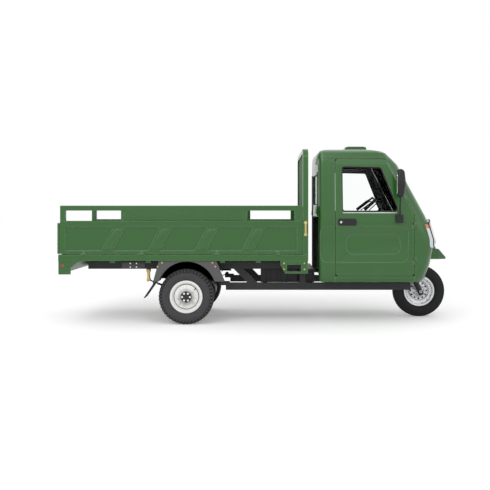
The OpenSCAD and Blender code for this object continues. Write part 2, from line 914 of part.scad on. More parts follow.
module tailgate() {
    color(green)
        difference() {
            union() {
                difference() {
                    block([gate_x, -bed_half, board_z], [gate_x + gate_t, bed_half, gate_top_z]);
                    for (y = gate_pitch * [-1, 0, 1])
                        block([gate_x - over, y - gate_field / 2, board_z + field_end],
                              [gate_x + gate_field_depth, y + gate_field / 2, gate_top_z - field_end]);
                    for (y = gate_hinges)
                        knuckle_y(y - hinge_half - knuckle_gap, y + hinge_half + knuckle_gap,
                                  knuckle_r + knuckle_gap);
                }
                for (y = gate_hinges) {
                    knuckle_y(y - leaf_half, y + leaf_half, knuckle_r);
                    block([gate_x, y - leaf_half, hinge_z + 2],
                          [gate_x + gate_t / 2, y + leaf_half, board_z + strap_h]);
                }
            }
            for (y = gate_hinges)
                knuckle_y(y - hinge_half, y + hinge_half, hinge_pin_r + run_gap);
        }
}

head_corner_r = 100;
head_tube = 45;
bar_count = 7;
head_panel_x = post_back_x + 18;
head_panel_t = 12;
head_rail_h = 40;
head_rail_in = 8;
head_bar_r = 11;
// Ribs on the back of the headboard panel
head_rib = [10, 22];

module headboard() {
    color(green) {
        along_x(post_back_x, bed_front_x)
            difference() {
                union() {
                    translate([-bed_half, floor_top_z])
                        square([bed_w, headboard_top_z - floor_top_z - head_corner_r]);
                    translate([-bed_half + head_corner_r, floor_top_z])
                        square([bed_w - 2 * head_corner_r, headboard_top_z - floor_top_z]);
                    for (s = side_signs)
                        translate([s * (bed_half - head_corner_r), headboard_top_z - head_corner_r])
                            circle(r = head_corner_r);
                }
                translate([-bed_half + post_w, floor_top_z - over])
                    square([bed_w - 2 * post_w, headboard_top_z - floor_top_z - head_corner_r + over]);
                translate([-bed_half + head_corner_r, headboard_top_z - head_corner_r - over])
                    square([bed_w - 2 * head_corner_r, head_corner_r - head_tube + over]);
                for (s = side_signs)
                    translate([s * (bed_half - head_corner_r), headboard_top_z - head_corner_r])
                        circle(r = head_corner_r - post_w);
            }
        block([head_panel_x, -bed_half + post_w - over, floor_top_z],
              [head_panel_x + head_panel_t, bed_half - post_w + over, board_top_z]);
        block([post_back_x + head_rail_in, -bed_half + post_w - over, board_top_z - head_rail_h],
              [bed_front_x - head_rail_in, bed_half - post_w + over, board_top_z]);
        bar_pitch = (bed_w - 2 * post_w) / (bar_count + 1);
        for (k = [1 : bar_count]) {
            y = -bed_half + post_w + k * bar_pitch;
            translate([head_panel_x + head_panel_t / 2, y, board_top_z - over])
                cylinder(r = head_bar_r, h = headboard_top_z - board_top_z - head_tube / 2);
            block([head_panel_x - head_rib[0], y - head_rib[1], floor_top_z],
                  [head_panel_x + over, y + head_rib[1], board_top_z - head_rail_h / 2]);
        }
    }
}

latch_x = bed_front_x - 28;
latch_z = 990;
latch_half = 60;
latch_w = 17;
latch_t = 6;

module board_latches() {
    color(zinc)
        for (s = side_signs)
            on_side(s) {
                along_y(bed_half, bed_half + latch_t) {
                    translate([latch_x - latch_w / 2, latch_z - latch_half])
                        square([latch_w, 2 * latch_half]);
                    for (end = side_signs)
                        translate([latch_x, latch_z + end * latch_half])
                            circle(r = latch_w);
                }
                translate([latch_x, bed_half, latch_z + latch_half])
                    rotate([-90, 0, 0])
                        cylinder(r = latch_w / 2, h = 2 * latch_t);
            }
}

tail_z = 521;
tail_plate = 10;
tail_half = bed_half - 4;
tail_foot_x = -1918;
tail_top_x = -1828;
lamp_y = [bed_half - 220, bed_half - 60];
lamp_z = [556, 628];
marker = [-2000, 610];
lamp_proud = 2;

module tail_panel() {
    color(green)
        difference() {
            union() {
                block([rear_beam_x, -tail_half, tail_z], [rear_beam_x + tail_plate, tail_half, bed_under_z]);
                for (s = side_signs)
                    on_side(s)
                        along_y(tail_half - tail_plate, tail_half)
                            polygon([
                                [rear_beam_x, tail_z], [tail_foot_x, tail_z], [tail_foot_x, tail_z + 65],
                                [tail_top_x, bed_under_z], [rear_beam_x, bed_under_z],
                            ]);
            }
            for (s = side_signs)
                on_side(s)
                    block([rear_beam_x - over, lamp_y[0], lamp_z[0]],
                          [rear_beam_x + tail_plate + over, lamp_y[1], lamp_z[1]]);
        }
}

module tail_lamps() {
    color(lamp_red)
        for (s = side_signs)
            on_side(s) {
                block([rear_beam_x - lamp_proud, lamp_y[0] + seat_gap, lamp_z[0] + seat_gap],
                      [rear_beam_x + tail_plate + 25, lamp_y[1] - seat_gap, lamp_z[1] - seat_gap]);
                translate([marker[0], tail_half, marker[1]])
                    rotate([-90, 0, 0])
                        cylinder(r1 = 17, r2 = 13, h = 5);
            }
}

arch_r = 303;
arch_lift = 64;
arch_x = rear_axle_x + 10;
skirt_out = bed_half - 14;
skirt_t = 6;
// The arch stays clear of the rail
arch_clear = 25;
arch_in = rail_y + rail_w / 2 + arch_clear;
fender_low_z = 448;
fender_top = [arch_x - 285, arch_x + 305];
fender_foot = [arch_x - 343, arch_x + 394];

module rear_fenders() {
    color(fender_grey)
        for (s = side_signs)
            on_side(s) {
                along_y(skirt_out - skirt_t, skirt_out)
                    difference() {
                        polygon([
                            [fender_foot[0], fender_low_z], [fender_foot[1], fender_low_z],
                            [fender_top[1], bed_under_z], [fender_top[0], bed_under_z],
                        ]);
                        translate([arch_x, axle_z + arch_lift])
                            circle(r = arch_r);
                    }
                along_y(arch_in, skirt_out)
                    intersection() {
                        difference() {
                            translate([arch_x, axle_z + arch_lift])
                                circle(r = arch_r + 5);
                            translate([arch_x, axle_z + arch_lift])
                                circle(r = arch_r);
                        }
                        translate([fender_foot[0], fender_low_z])
                            square([fender_foot[1] - fender_foot[0], bed_under_z - fender_low_z - seat_gap]);
                    }
            }
}

flap_low = [-1175, 279];
flap_t = 12;
flap_lip = 45;
flap_bend = 30;
flap_top_z = fender_low_z - seat_gap;

module mud_flaps() {
    color(rubber)
        for (s = side_signs)
            on_side(s)
                along_y(arch_in + 5, skirt_out)
                    polygon([
                        [fender_foot[0], flap_top_z], [fender_foot[0] + flap_lip, flap_top_z],
                        [fender_foot[0] + flap_t, flap_top_z - flap_bend],
                        [flap_low[0] + flap_t, flap_low[1]], flap_low,
                        [fender_foot[0] - 4, flap_top_z - flap_bend],
                    ]);
}

// Cab

cab_low_z = 435;
split_z = 1712;
belt_z = 1120;
// Cab sections from sill to roof: height, rear, front, half width, rear and front corner, bow of the front
cab_sections = [
    [cab_low_z, 30, 1070, cab_half_w - 30, 40, 120, 30],
    [cab_low_z + 12, 10, 1088, cab_half_w - 11, 45, 135, 36],
    [cab_low_z + 40, 0, 1114, cab_half_w - 4, 45, 145, 42],
    [613, 0, 1166, cab_half_w - 1, 45, 150, 48],
    [757, 0, 1196, cab_half_w, 45, 150, 50],
    [878, 0, 1196, cab_half_w, 45, 150, 50],
    [963, 0, 1176, cab_half_w - 1, 45, 150, 48],
    [1058, 0, 1146, cab_half_w - 2, 45, 150, 44],
    [belt_z, 0, 1118, cab_half_w - 4, 45, 145, 38],
    [1652, 0, 831, cab_half_w - 47, 45, 120, 26],
    [split_z, 0, 774, cab_half_w - 57, 45, 115, 24],
    [1775, 4, 712, cab_half_w - 73, 50, 110, 20],
    [1797, 16, 672, cab_half_w - 105, 55, 100, 16],
    [1817, 60, 590, cab_half_w - 195, 60, 90, 12],
    [1829, 140, 500, cab_half_w - 325, 60, 80, 6],
];
sill_sections = 3;
roof_sections = 10;
crown_z = cab_sections[len(cab_sections) - 1][0];
rear_steps = 3;
front_steps = 5;
bow_steps = 6;

function arc(middle, r, first, last, steps) =
    [for (i = [0 : steps]) let (a = first + (last - first) * i / steps) middle + r * [cos(a), sin(a)]];

// One cab section, drawn in by inset all round
function cab_ring(row, inset) =
    let (
        back = row[1] + inset,
        front = row[2] - inset,
        half = row[3] - inset,
        rear_r = max(row[4] - inset, 6),
        front_r = max(row[5] - inset, 12),
        bow_half = half - front_r
    )
    concat(
        arc([back + rear_r, -half + rear_r], rear_r, 180, 270, rear_steps),
        arc([front - front_r, -half + front_r], front_r, 270, 360, front_steps),
        [for (k = [1 : bow_steps - 1])
            let (y = bow_half * (2 * k / bow_steps - 1))
            [front + row[6] * (1 - pow(y / bow_half, 2)), y]],
        arc([front - front_r, half - front_r], front_r, 0, 90, front_steps),
        arc([back + rear_r, half - rear_r], rear_r, 90, 180, rear_steps)
    );

// Height of a section: an inset body is also lower under the roof and higher over the sill
function ring_z(index, inset) =
    cab_sections[index][0] + (index < sill_sections ? max(inset, 0) : index >= roof_sections ? -inset : 0);

// Body of the cab, drawn in by inset
module cab_body(inset) {
    rows = len(cab_sections);
    count = len(cab_ring(cab_sections[0], inset));
    points = [
        for (i = [0 : rows - 1])
            for (p = cab_ring(cab_sections[i], inset))
                [cab_x + p[0], p[1], ring_z(i, inset)]
    ];
    walls = [
        for (i = [0 : rows - 2])
            for (j = [0 : count - 1])
                let (a = i * count + j, b = i * count + (j + 1) % count)
                each [[a, a + count, b], [b, a + count, b + count]]
    ];
    floor_face = [for (j = [0 : count - 1]) j];
    roof_face = [for (j = [count - 1 : -1 : 0]) (rows - 1) * count + j];
    polyhedron(points, concat(walls, [floor_face, roof_face]), convexity = 4);
}

// Hollow shell of the cab between two insets
module cab_shell(outer, inner) {
    difference() {
        cab_body(outer);
        cab_body(inner);
    }
}

// Door opening: rear edge, front edge, sill, start of the slanted edge, and its top
door_back_x = cab_x + 168;
door_front_x = cab_x + 983;
door_low_z = 498;
door_bend_z = 1150;
door_top_front_x = cab_x + 690;

// Outline of the door opening on the XZ plane, drawn in by gap
function door_outline(gap) =
    let (
        run = door_front_x - door_top_front_x,
        rise = split_z - door_bend_z,
        slope = norm([run, rise])
    )
    [
        [door_back_x + gap, door_low_z + gap],
        [door_front_x - gap, door_low_z + gap],
        [door_front_x - gap, door_bend_z - gap * (slope - rise) / run],
        [door_top_front_x - gap * (slope - run) / rise, split_z - gap],
        [door_back_x + gap, split_z - gap],
    ];

window_corner_r = 34;
screen_corner_r = 50;
window_low_z = 1161;
// Door window on the XZ plane
window_outline = [
    [cab_x + 236, window_low_z], [cab_x + 816, window_low_z], [cab_x + 816, window_low_z + 42],
    [cab_x + 646, 1626], [cab_x + 234, 1634],
];
// Windscreen as half width and height
screen_low = [cab_half_w - 105, 1158];
screen_top = [cab_half_w - 153, 1640];
screen_outline = [
    [-screen_low[0], screen_low[1]], [screen_low[0], screen_low[1]],
    [screen_top[0], screen_top[1]], [-screen_top[0], screen_top[1]],
];
rear_window_half = cab_half_w - 245;
rear_window_z = [1235, 1565];
// Pressed fields of the body side: rear, front, underside, top, depth
outer_field = [cab_x + 16, cab_x + 918, 642, 1008, 7];
inner_field = [cab_x + 281, cab_x + 836, 725, 925, 12];
field_corner_r = 70;
glass_in = 12;
// Cuts reach this far past the cab
side_reach = cab_half_w + 200;
ahead_x = cab_x + 1500;

module field_cut(field) {
    difference() {
        along_y(-side_reach, side_reach)
            round_poly([
                [field[0], field[2]], [field[1], field[2]], [field[1], field[3]], [field[0], field[3]],
            ], field_corner_r);
        cab_body(field[4]);
    }
}

// Room beside the front wheel at full lock
lock_clear = 17;
tunnel_half = tyre_d / 2 * sin(steer_lock) + front_tyre_w / 2 * cos(steer_lock) + lock_clear;
tunnel_t = 12;
tunnel_back_x = head_cross_x - 25;
tunnel_top_z = axle_z + (crown_s + crown_h) * cos(rake) + 70;

module cab_floor() {
    color(green)
        difference() {
            union() {
                intersection() {
                    cab_shell(0, cab_wall);
                    block([door_back_x, -side_reach, cab_low_z - over],
                          [door_front_x, side_reach, door_low_z]);
                }
                block([tunnel_back_x - tunnel_t, -tunnel_half - tunnel_t, cab_low_z + over],
                      [door_front_x, tunnel_half + tunnel_t, cab_low_z + cab_wall + tunnel_t]);
                intersection() {
                    cab_body(cab_wall + seat_gap);
                    block([tunnel_back_x - tunnel_t, -tunnel_half - tunnel_t, cab_low_z],
                          [ahead_x, tunnel_half + tunnel_t, tunnel_top_z + tunnel_t]);
                }
            }
            block([tunnel_back_x, -tunnel_half, cab_low_z - over], [ahead_x, tunnel_half, tunnel_top_z]);
            on_steering_axis()
                cylinder(r = head_r + seat_gap, h = head_top_s);
        }
}

rear_recess = 80;
// Width of a quarter panel beside the recessed wall, and how far the wall stops inside the body side
quarter_w = 65;
wall_root = 32;
pressing_w = 28;
pressing_depth = 6;
// Middles of the pressings of the rear wall along Y
pressings = [for (s = side_signs) for (inward = [85, 155]) s * (cab_half_w - inward)];

module cab_rear() {
    color(green)
        difference() {
            union() {
                difference() {
                    intersection() {
                        cab_shell(0, cab_wall);
                        block([cab_x - over, -side_reach, cab_low_z - over],
                              [door_back_x, side_reach, split_z]);
                    }
                    block([cab_x - over, -cab_half_w + quarter_w, cab_low_z - over],
                          [cab_x + cab_wall + 30, cab_half_w - quarter_w, belt_z]);
                }
                block([cab_x + rear_recess, -cab_half_w + wall_root, cab_low_z],
                      [cab_x + rear_recess + cab_wall, cab_half_w - wall_root, belt_z + 20]);
                block([cab_x + 4, -cab_half_w + quarter_w - 20, belt_z - 10],
                      [cab_x + rear_recess + cab_wall, cab_half_w - quarter_w + 20, belt_z + 20]);
            }
            along_x(cab_x - over, cab_x + cab_wall + over)
                round_poly([
                    [-rear_window_half, rear_window_z[0]], [rear_window_half, rear_window_z[0]],
                    [rear_window_half, rear_window_z[1]], [-rear_window_half, rear_window_z[1]],
                ], window_corner_r);
            for (y = pressings)
                block([cab_x - over, y - pressing_w / 2, belt_z + 60],
                      [cab_x + pressing_depth, y + pressing_w / 2, split_z - 60]);
            field_cut(outer_field);
        }
}

module rear_window() {
    color(glass_tint)
        along_x(cab_x + glass_in, cab_x + glass_in + glass_t)
            round_poly([
                [-rear_window_half + seat_gap, rear_window_z[0] + seat_gap],
                [rear_window_half - seat_gap, rear_window_z[0] + seat_gap],
                [rear_window_half - seat_gap, rear_window_z[1] - seat_gap],
                [-rear_window_half + seat_gap, rear_window_z[1] - seat_gap],
            ], window_corner_r);
}

hinge_y = cab_half_w + 5;
door_knuckle_r = 7;
door_pin_r = 3.5;
door_hinge_x = door_front_x - door_gap / 2;
// Undersides of the door hinges
door_hinges = [620, 985];
door_knuckle_h = 34;

// Door hinge knuckle on the left, from z0 up
module door_knuckle(z0, h, r) {
    translate([door_hinge_x, hinge_y, z0])
        cylinder(r = r, h = h);
}

module cab_front() {
    color(green)
        difference() {
            union() {
                difference() {
                    intersection() {
                        cab_shell(0, cab_wall);
                        along_y(-side_reach, side_reach)
                            polygon([
                                [door_front_x, cab_low_z - over], [door_front_x, door_bend_z],
                                [door_top_front_x, split_z], [ahead_x, split_z],
                                [ahead_x, cab_low_z - over],
                            ]);
                    }
                    for (s = side_signs)
                        on_side(s)
                            for (z = door_hinges)
                                door_knuckle(z - knuckle_gap, door_knuckle_h + 2 * knuckle_gap,
                                             door_knuckle_r + knuckle_gap);
                }
                for (s = side_signs)
                    on_side(s)
                        for (z = door_hinges) {
                            door_knuckle(z + door_knuckle_h + knuckle_gap, door_knuckle_h, door_knuckle_r);
                            door_knuckle(z + 4, 2 * door_knuckle_h, door_pin_r);
                            block([door_hinge_x, hinge_y - 2 * door_knuckle_r,
                                   z + door_knuckle_h + knuckle_gap],
                                  [door_hinge_x + strap_h, hinge_y, z + 2 * door_knuckle_h]);
                        }
            }
            along_x(door_top_front_x, ahead_x)
                round_poly(screen_outline, screen_corner_r);
            block([door_front_x, -tunnel_half, cab_low_z - over], [ahead_x, tunnel_half, tunnel_top_z - 20]);
        }
}

module windscreen() {
    color(glass_tint)
        intersection() {
            cab_shell(glass_in, glass_in + glass_t);
            along_x(door_top_front_x, ahead_x)
                offset(delta = -seat_gap)
                    round_poly(screen_outline, screen_corner_r);
        }
}

module cab_roof() {
    color(green)
        intersection() {
            cab_shell(0, cab_wall);
            block([cab_x - over, -side_reach, split_z], [ahead_x, side_reach, crown_z + over]);
        }
}

vent_x = [cab_x + 304, cab_x + 566];
vent_half_w = 150;

module roof_vent() {
    color(green)
        difference() {
            along_y(-vent_half_w, vent_half_w)
                polygon([
                    [vent_x[0], crown_z - vent_h], [vent_x[1], crown_z - vent_h],
                    [vent_x[1] - 18, crown_z + vent_h - 8], [vent_x[1] - 48, crown_z + vent_h],
                    [vent_x[0] + 48, crown_z + vent_h], [vent_x[0] + 18, crown_z + vent_h - 8],
                ]);
            cab_body(-seat_gap);
        }
}

lamp_proud_front = 28;
// Headlamp outline on the left, as Y and height
headlamp_outline = [
    [cab_half_w - 290, 806], [cab_half_w - 45, 781], [cab_half_w - 30, 1050],
    [cab_half_w - 165, 1085], [cab_half_w - 270, 1050],
];

module headlamps() {
    color(rim_silver)
        intersection() {
            difference() {
                cab_body(-lamp_proud_front);
                cab_body(-seat_gap);
            }
            along_x(door_front_x, ahead_x)
                for (s = side_signs)
                    mirror([s > 0 ? 0 : 1, 0])
                        round_poly(headlamp_outline, 30);
        }
}

guard_tip_x = front_axle_x + tyre_d / 2 + 3;
guard_half_w = 130;
guard_t = 8;
guard_back_x = front_axle_x - 60;
guard_bend_x = front_axle_x + 200;
guard_low_z = 641;
guard_top_z = 772;
// Beak of the mudguard on the XZ plane, drawn in by inset
function guard_outline(inset) = [
    [guard_back_x, guard_low_z - inset], [guard_tip_x - inset, guard_low_z - inset],
    [guard_tip_x - inset, guard_low_z + 19], [guard_bend_x - 0.6 * inset, guard_top_z - 19 - inset],
    [front_axle_x + 60, guard_top_z - inset], [guard_back_x, guard_top_z - inset],
];
// Plan of the beak on the left, drawn in by inset
function guard_plan(inset) = [
    [guard_back_x, -guard_half_w + inset], [guard_bend_x, -guard_half_w + 10 + inset],
    [guard_tip_x - inset, -guard_half_w + 55], [guard_tip_x - inset, guard_half_w - 55],
    [guard_bend_x, guard_half_w - 10 - inset], [guard_back_x, guard_half_w - inset],
];

module guard_solid(inset) {
    intersection() {
        along_y(-guard_half_w, guard_half_w)
            polygon(guard_outline(inset));
        linear_extrude(guard_top_z + over)
            polygon(guard_plan(inset));
    }
}

module front_mudguard() {
    color(green)
        difference() {
            guard_solid(0);
            guard_solid(guard_t);
            cab_body(-seat_gap);
        }
}

// Doors

module door(s) {
    color(green)
        on_side(s)
            difference() {
                union() {
                    difference() {
                        intersection() {
                            cab_shell(0, cab_wall);
                            along_y(0, side_reach)
                                round_poly(door_outline(door_gap), 30);
                        }
                        for (z = door_hinges)
                            door_knuckle(z + door_knuckle_h, door_knuckle_h + 2 * knuckle_gap,
                                         door_knuckle_r + knuckle_gap);
                    }
                    for (z = door_hinges) {
                        door_knuckle(z, door_knuckle_h, door_knuckle_r);
                        block([door_hinge_x - strap_h, hinge_y - 2 * door_knuckle_r, z],
                              [door_hinge_x, hinge_y, z + door_knuckle_h]);
                    }
                }
                for (z = door_hinges)
                    door_knuckle(z - over, 2 * door_knuckle_h + 3, door_pin_r + run_gap);
                along_y(0, side_reach)
                    round_poly(window_outline, window_corner_r);
                field_cut(outer_field);
                field_cut(inner_field);
            }
}

module door_glass(s) {
    color(glass_tint)
        on_side(s)
            intersection() {
                cab_shell(glass_in, glass_in + glass_t);
                along_y(0, side_reach)
                    offset(delta = -seat_gap)
                        round_poly(window_outline, window_corner_r);
            }
}

handle_x = [cab_x + 196, cab_x + 386];
handle_z = [1020, 1091];
handle_proud = 12;

module door_handle(s) {
    color(trim_black)
        on_side(s)
            intersection() {
                difference() {
                    cab_body(-handle_proud);
                    cab_body(-seat_gap);
                }
                along_y(0, side_reach)
                    round_poly([
                        [handle_x[0], handle_z[0]], [handle_x[1], handle_z[0]],
                        [handle_x[1], handle_z[1]], [handle_x[0], handle_z[1]],
                    ], 20);
            }
}

mirror_x = cab_x + 818;
mirror_z = [1307, 1597];
mirror_y = [cab_half_w + 40, cab_half_w + 155];
mirror_foot_z = 1090;
// Radius of the mirror head at its foot, middle and top, and how far behind the middle the glass lies
mirror_r = [38, 55, 44];
mirror_flat = 34;
mirror_arm_r = 8;
mirror_mid = [(mirror_y[0] + mirror_y[1]) / 2, (mirror_z[0] + mirror_z[1]) / 2];
mirror_heights = [mirror_z[0] + mirror_r[0], mirror_mid[1], mirror_z[1] - mirror_r[2]];

module mirror_unit(s) {
    color(trim_black)
        on_side(s) {
            difference() {
                hull()
                    for (k = [0 : len(mirror_r) - 1])
                        translate([mirror_x, mirror_mid[0], mirror_heights[k]])
                            sphere(r = mirror_r[k], $fn = 24);
                block([mirror_x - 2 * mirror_r[1], mirror_y[0] - over, mirror_z[0] - over],
                      [mirror_x - mirror_flat, mirror_y[1] + over, mirror_z[1] + over]);
            }
            rod([mirror_x + mirror_arm_r, cab_half_w + 25, mirror_foot_z],
                [mirror_x, mirror_mid[0], mirror_heights[0]], mirror_arm_r);
            difference() {
                block([mirror_x - 28, cab_half_w - 45, mirror_foot_z - 42],
                      [mirror_x + 43, cab_half_w + 35, mirror_foot_z + 42]);
                cab_body(-seat_gap);
            }
        }
}

// Cab inside

seat_back_x = cab_x + rear_recess + cab_wall + 6;
seat_floor_z = cab_low_z + cab_wall;
seat_top_z = seat_floor_z + seat_base_h;
cushion_t = 118;
seat_half_w = cab_half_w - 125;
seat_depth = 390;
seat_frame = 60;
seat_side = 10;
seat_back_h = 372;
cushion_out = 55;

module seat_base() {
    color(trim_black)
        difference() {
            block([seat_back_x, -seat_half_w, seat_floor_z],
                  [seat_back_x + seat_depth, seat_half_w, seat_top_z]);
            block([seat_back_x + seat_depth - 8, seat_frame - seat_half_w, seat_floor_z + seat_frame],
                  [seat_back_x + seat_depth + over, seat_half_w - seat_frame, seat_top_z - seat_frame]);
        }
}

module seat_cushion() {
    color(trim_black)
        block([seat_back_x + 2 * seat_side, seat_side - seat_half_w, seat_top_z + seat_gap],
              [seat_back_x + seat_depth + cushion_out, seat_half_w - seat_side, seat_top_z + cushion_t]);
}

module seat_back() {
    color(trim_black)
        along_y(seat_side - seat_half_w, seat_half_w - seat_side)
            polygon([
                [seat_back_x + 1, seat_top_z + cushion_t + seat_gap],
                [seat_back_x + 110, seat_top_z + cushion_t + seat_gap],
                [seat_back_x + 72, seat_top_z + seat_back_h], [seat_back_x + 1, seat_top_z + seat_back_h],
            ]);
}

dash_x = cab_x + 925;
dash_z = [890, 1112];
dash_in = 45;

module dashboard() {
    color(trim_black)
        intersection() {
            cab_body(cab_wall + seat_gap);
            along_y(dash_in - cab_half_w, cab_half_w - dash_in)
                polygon([
                    [dash_x + 40, dash_z[0]], [ahead_x, dash_z[0]], [ahead_x, dash_z[1]],
                    [dash_x + 70, dash_z[1]], [dash_x, dash_z[1] - 50], [dash_x, dash_z[0] + 90],
                ]);
        }
}

chassis_frame();
rear_axle();
drive_motor();
leaf_springs();
spring_shackles();
rear_dampers();
battery_box();
bed_floor();
headboard();
board_latches();
tail_panel();
tail_lamps();
rear_fenders();
mud_flaps();
cab_floor();
cab_rear();
cab_front();
cab_roof();
roof_vent();
windscreen();
rear_window();
headlamps();
front_mudguard();
seat_base();
seat_cushion();
seat_back();
dashboard();
front_fork();
handlebar();
front_tyre();
front_rim();
rear_tyre(1);  // rear_tyre_left
rear_tyre(-1);  // rear_tyre_right
rear_rim_at(1);  // rear_rim_left
rear_rim_at(-1);  // rear_rim_right
door(1);  // door_left
door(-1);  // door_right
door_glass(1);  // door_glass_left
door_glass(-1);  // door_glass_right
door_handle(1);  // door_handle_left
door_handle(-1);  // door_handle_right
mirror_unit(1);  // mirror_left
mirror_unit(-1);  // mirror_right
on_side(1) side_board();  // side_board_left
on_side(-1) side_board();  // side_board_right
on_side(1) board_rail();  // board_rail_left
on_side(-1) board_rail();  // board_rail_right
tailgate();
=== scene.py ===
"""Looks of a green electric cargo tricycle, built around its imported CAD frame."""

import json
import logging
import math
from collections.abc import Iterable, Sequence
from dataclasses import dataclass
from enum import Enum

import bpy
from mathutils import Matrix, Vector
from mathutils.bvhtree import BVHTree

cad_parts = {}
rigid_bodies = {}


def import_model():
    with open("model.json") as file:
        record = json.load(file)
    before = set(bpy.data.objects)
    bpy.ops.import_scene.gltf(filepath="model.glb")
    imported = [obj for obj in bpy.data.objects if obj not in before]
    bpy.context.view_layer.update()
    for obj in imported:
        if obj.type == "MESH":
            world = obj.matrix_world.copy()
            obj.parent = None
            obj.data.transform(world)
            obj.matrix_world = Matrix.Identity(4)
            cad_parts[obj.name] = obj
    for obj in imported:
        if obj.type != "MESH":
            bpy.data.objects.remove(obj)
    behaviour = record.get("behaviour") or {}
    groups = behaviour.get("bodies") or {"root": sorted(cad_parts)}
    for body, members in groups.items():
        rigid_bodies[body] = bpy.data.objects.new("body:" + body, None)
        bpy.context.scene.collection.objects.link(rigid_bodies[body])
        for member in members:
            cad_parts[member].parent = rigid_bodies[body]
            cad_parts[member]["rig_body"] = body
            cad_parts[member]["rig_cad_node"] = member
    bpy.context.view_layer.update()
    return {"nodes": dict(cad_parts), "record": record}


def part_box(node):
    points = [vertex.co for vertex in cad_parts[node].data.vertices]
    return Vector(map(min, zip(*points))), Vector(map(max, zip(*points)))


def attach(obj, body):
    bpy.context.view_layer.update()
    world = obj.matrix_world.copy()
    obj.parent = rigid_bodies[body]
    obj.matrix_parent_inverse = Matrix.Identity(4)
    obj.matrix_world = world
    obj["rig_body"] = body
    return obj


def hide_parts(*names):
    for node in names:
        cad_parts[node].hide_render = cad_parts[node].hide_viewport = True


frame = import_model()
NODES: dict[str, bpy.types.Object] = frame["nodes"]
LOG = logging.getLogger("tricycle")
Point = tuple[float, float, float]
Span = tuple[float, float]
Color = tuple[float, float, float]
# Rays start this far out, beyond the vehicle
FAR = 3.0
FORWARD, BACKWARD = Vector((1.0, 0.0, 0.0)), Vector((-1.0, 0.0, 0.0))
AXLE = Vector((0.0, 1.0, 0.0))
SMOOTH_DEG = 34.0
GRAIN_DETAIL, GRAIN_DEPTH = 5.0, 0.002
COAT_ROUGHNESS = 0.08
SOLID_IOR, PANE_IOR = 1.5, 1.06


class Side(Enum):
    """Side of the vehicle, with the sign of its Y."""

    LEFT = 1
    RIGHT = -1

    def name_of(self, stem: str) -> str:
        """Returns the name of this side's body or node.

        Args:
            stem: name without the side.
        """
        return f"{stem}_{self.name.lower()}"


class Body(str, Enum):
    """CAD bodies that have no side."""

    CHASSIS = "chassis"
    STEERING = "steering"
    FRONT_WHEEL = "front_wheel"


# Finishes


def grain_and_painted_highlight() -> bpy.types.NodeTree:
    """Returns the shared shader group: a mottled value, a mask of painted highlight along edges and a grained
    normal.
    """
    name = "SurfaceGrain"
    if name in bpy.data.node_groups:
        return bpy.data.node_groups[name]
    group = bpy.data.node_groups.new(name, "ShaderNodeTree")
    for label in ("Scale", "Mottle", "Bump", "Edge", "Crease"):
        group.interface.new_socket(name=label, in_out="INPUT", socket_type="NodeSocketFloat")
    for label in ("Value", "Crease"):
        group.interface.new_socket(name=label, in_out="OUTPUT", socket_type="NodeSocketFloat")
    group.interface.new_socket(name="Normal", in_out="OUTPUT", socket_type="NodeSocketVector")
    nodes, links = group.nodes, group.links
    given, out = nodes.new("NodeGroupInput"), nodes.new("NodeGroupOutput")
    place, noise = nodes.new("ShaderNodeTexCoord"), nodes.new("ShaderNodeTexNoise")
    noise.inputs["Detail"].default_value = GRAIN_DETAIL
    spread, bump = nodes.new("ShaderNodeMapRange"), nodes.new("ShaderNodeBump")
    low, high = nodes.new("ShaderNodeMath"), nodes.new("ShaderNodeMath")
    low.operation, high.operation = "SUBTRACT", "ADD"
    low.inputs[0].default_value = high.inputs[0].default_value = 1.0
    bump.inputs["Distance"].default_value = GRAIN_DEPTH
    # Painted highlight: a mask made where the bevel normal turns away from the surface normal, at edges and
    # folds, lightens the colour there
    rounded, surface = nodes.new("ShaderNodeBevel"), nodes.new("ShaderNodeNewGeometry")
    bend = nodes.new("ShaderNodeVectorMath")
    turned, crease = nodes.new("ShaderNodeMath"), nodes.new("ShaderNodeMath")
    bend.operation, turned.operation, crease.operation = "DOT_PRODUCT", "SUBTRACT", "MULTIPLY"
    turned.inputs[0].default_value = 1.0
    crease.use_clamp = True
    for source, target in (
        (place.outputs["Object"], noise.inputs["Vector"]),
        (given.outputs["Scale"], noise.inputs["Scale"]),
        (given.outputs["Mottle"], low.inputs[1]),
        (given.outputs["Mottle"], high.inputs[1]),
        (noise.outputs["Fac"], spread.inputs["Value"]),
        (low.outputs[0], spread.inputs["To Min"]),
        (high.outputs[0], spread.inputs["To Max"]),
        (spread.outputs["Result"], out.inputs["Value"]),
        (noise.outputs["Fac"], bump.inputs["Height"]),
        (given.outputs["Bump"], bump.inputs["Strength"]),
        (given.outputs["Edge"], rounded.inputs["Radius"]),
        (rounded.outputs["Normal"], bump.inputs["Normal"]),
        (rounded.outputs["Normal"], bend.inputs[0]),
        (surface.outputs["Normal"], bend.inputs[1]),
        (bend.outputs["Value"], turned.inputs[1]),
        (turned.outputs[0], crease.inputs[0]),
        (given.outputs["Crease"], crease.inputs[1]),
        (crease.outputs[0], out.inputs["Crease"]),
        (bump.outputs["Normal"], out.inputs["Normal"]),
    ):
        links.new(source, target)
    return group


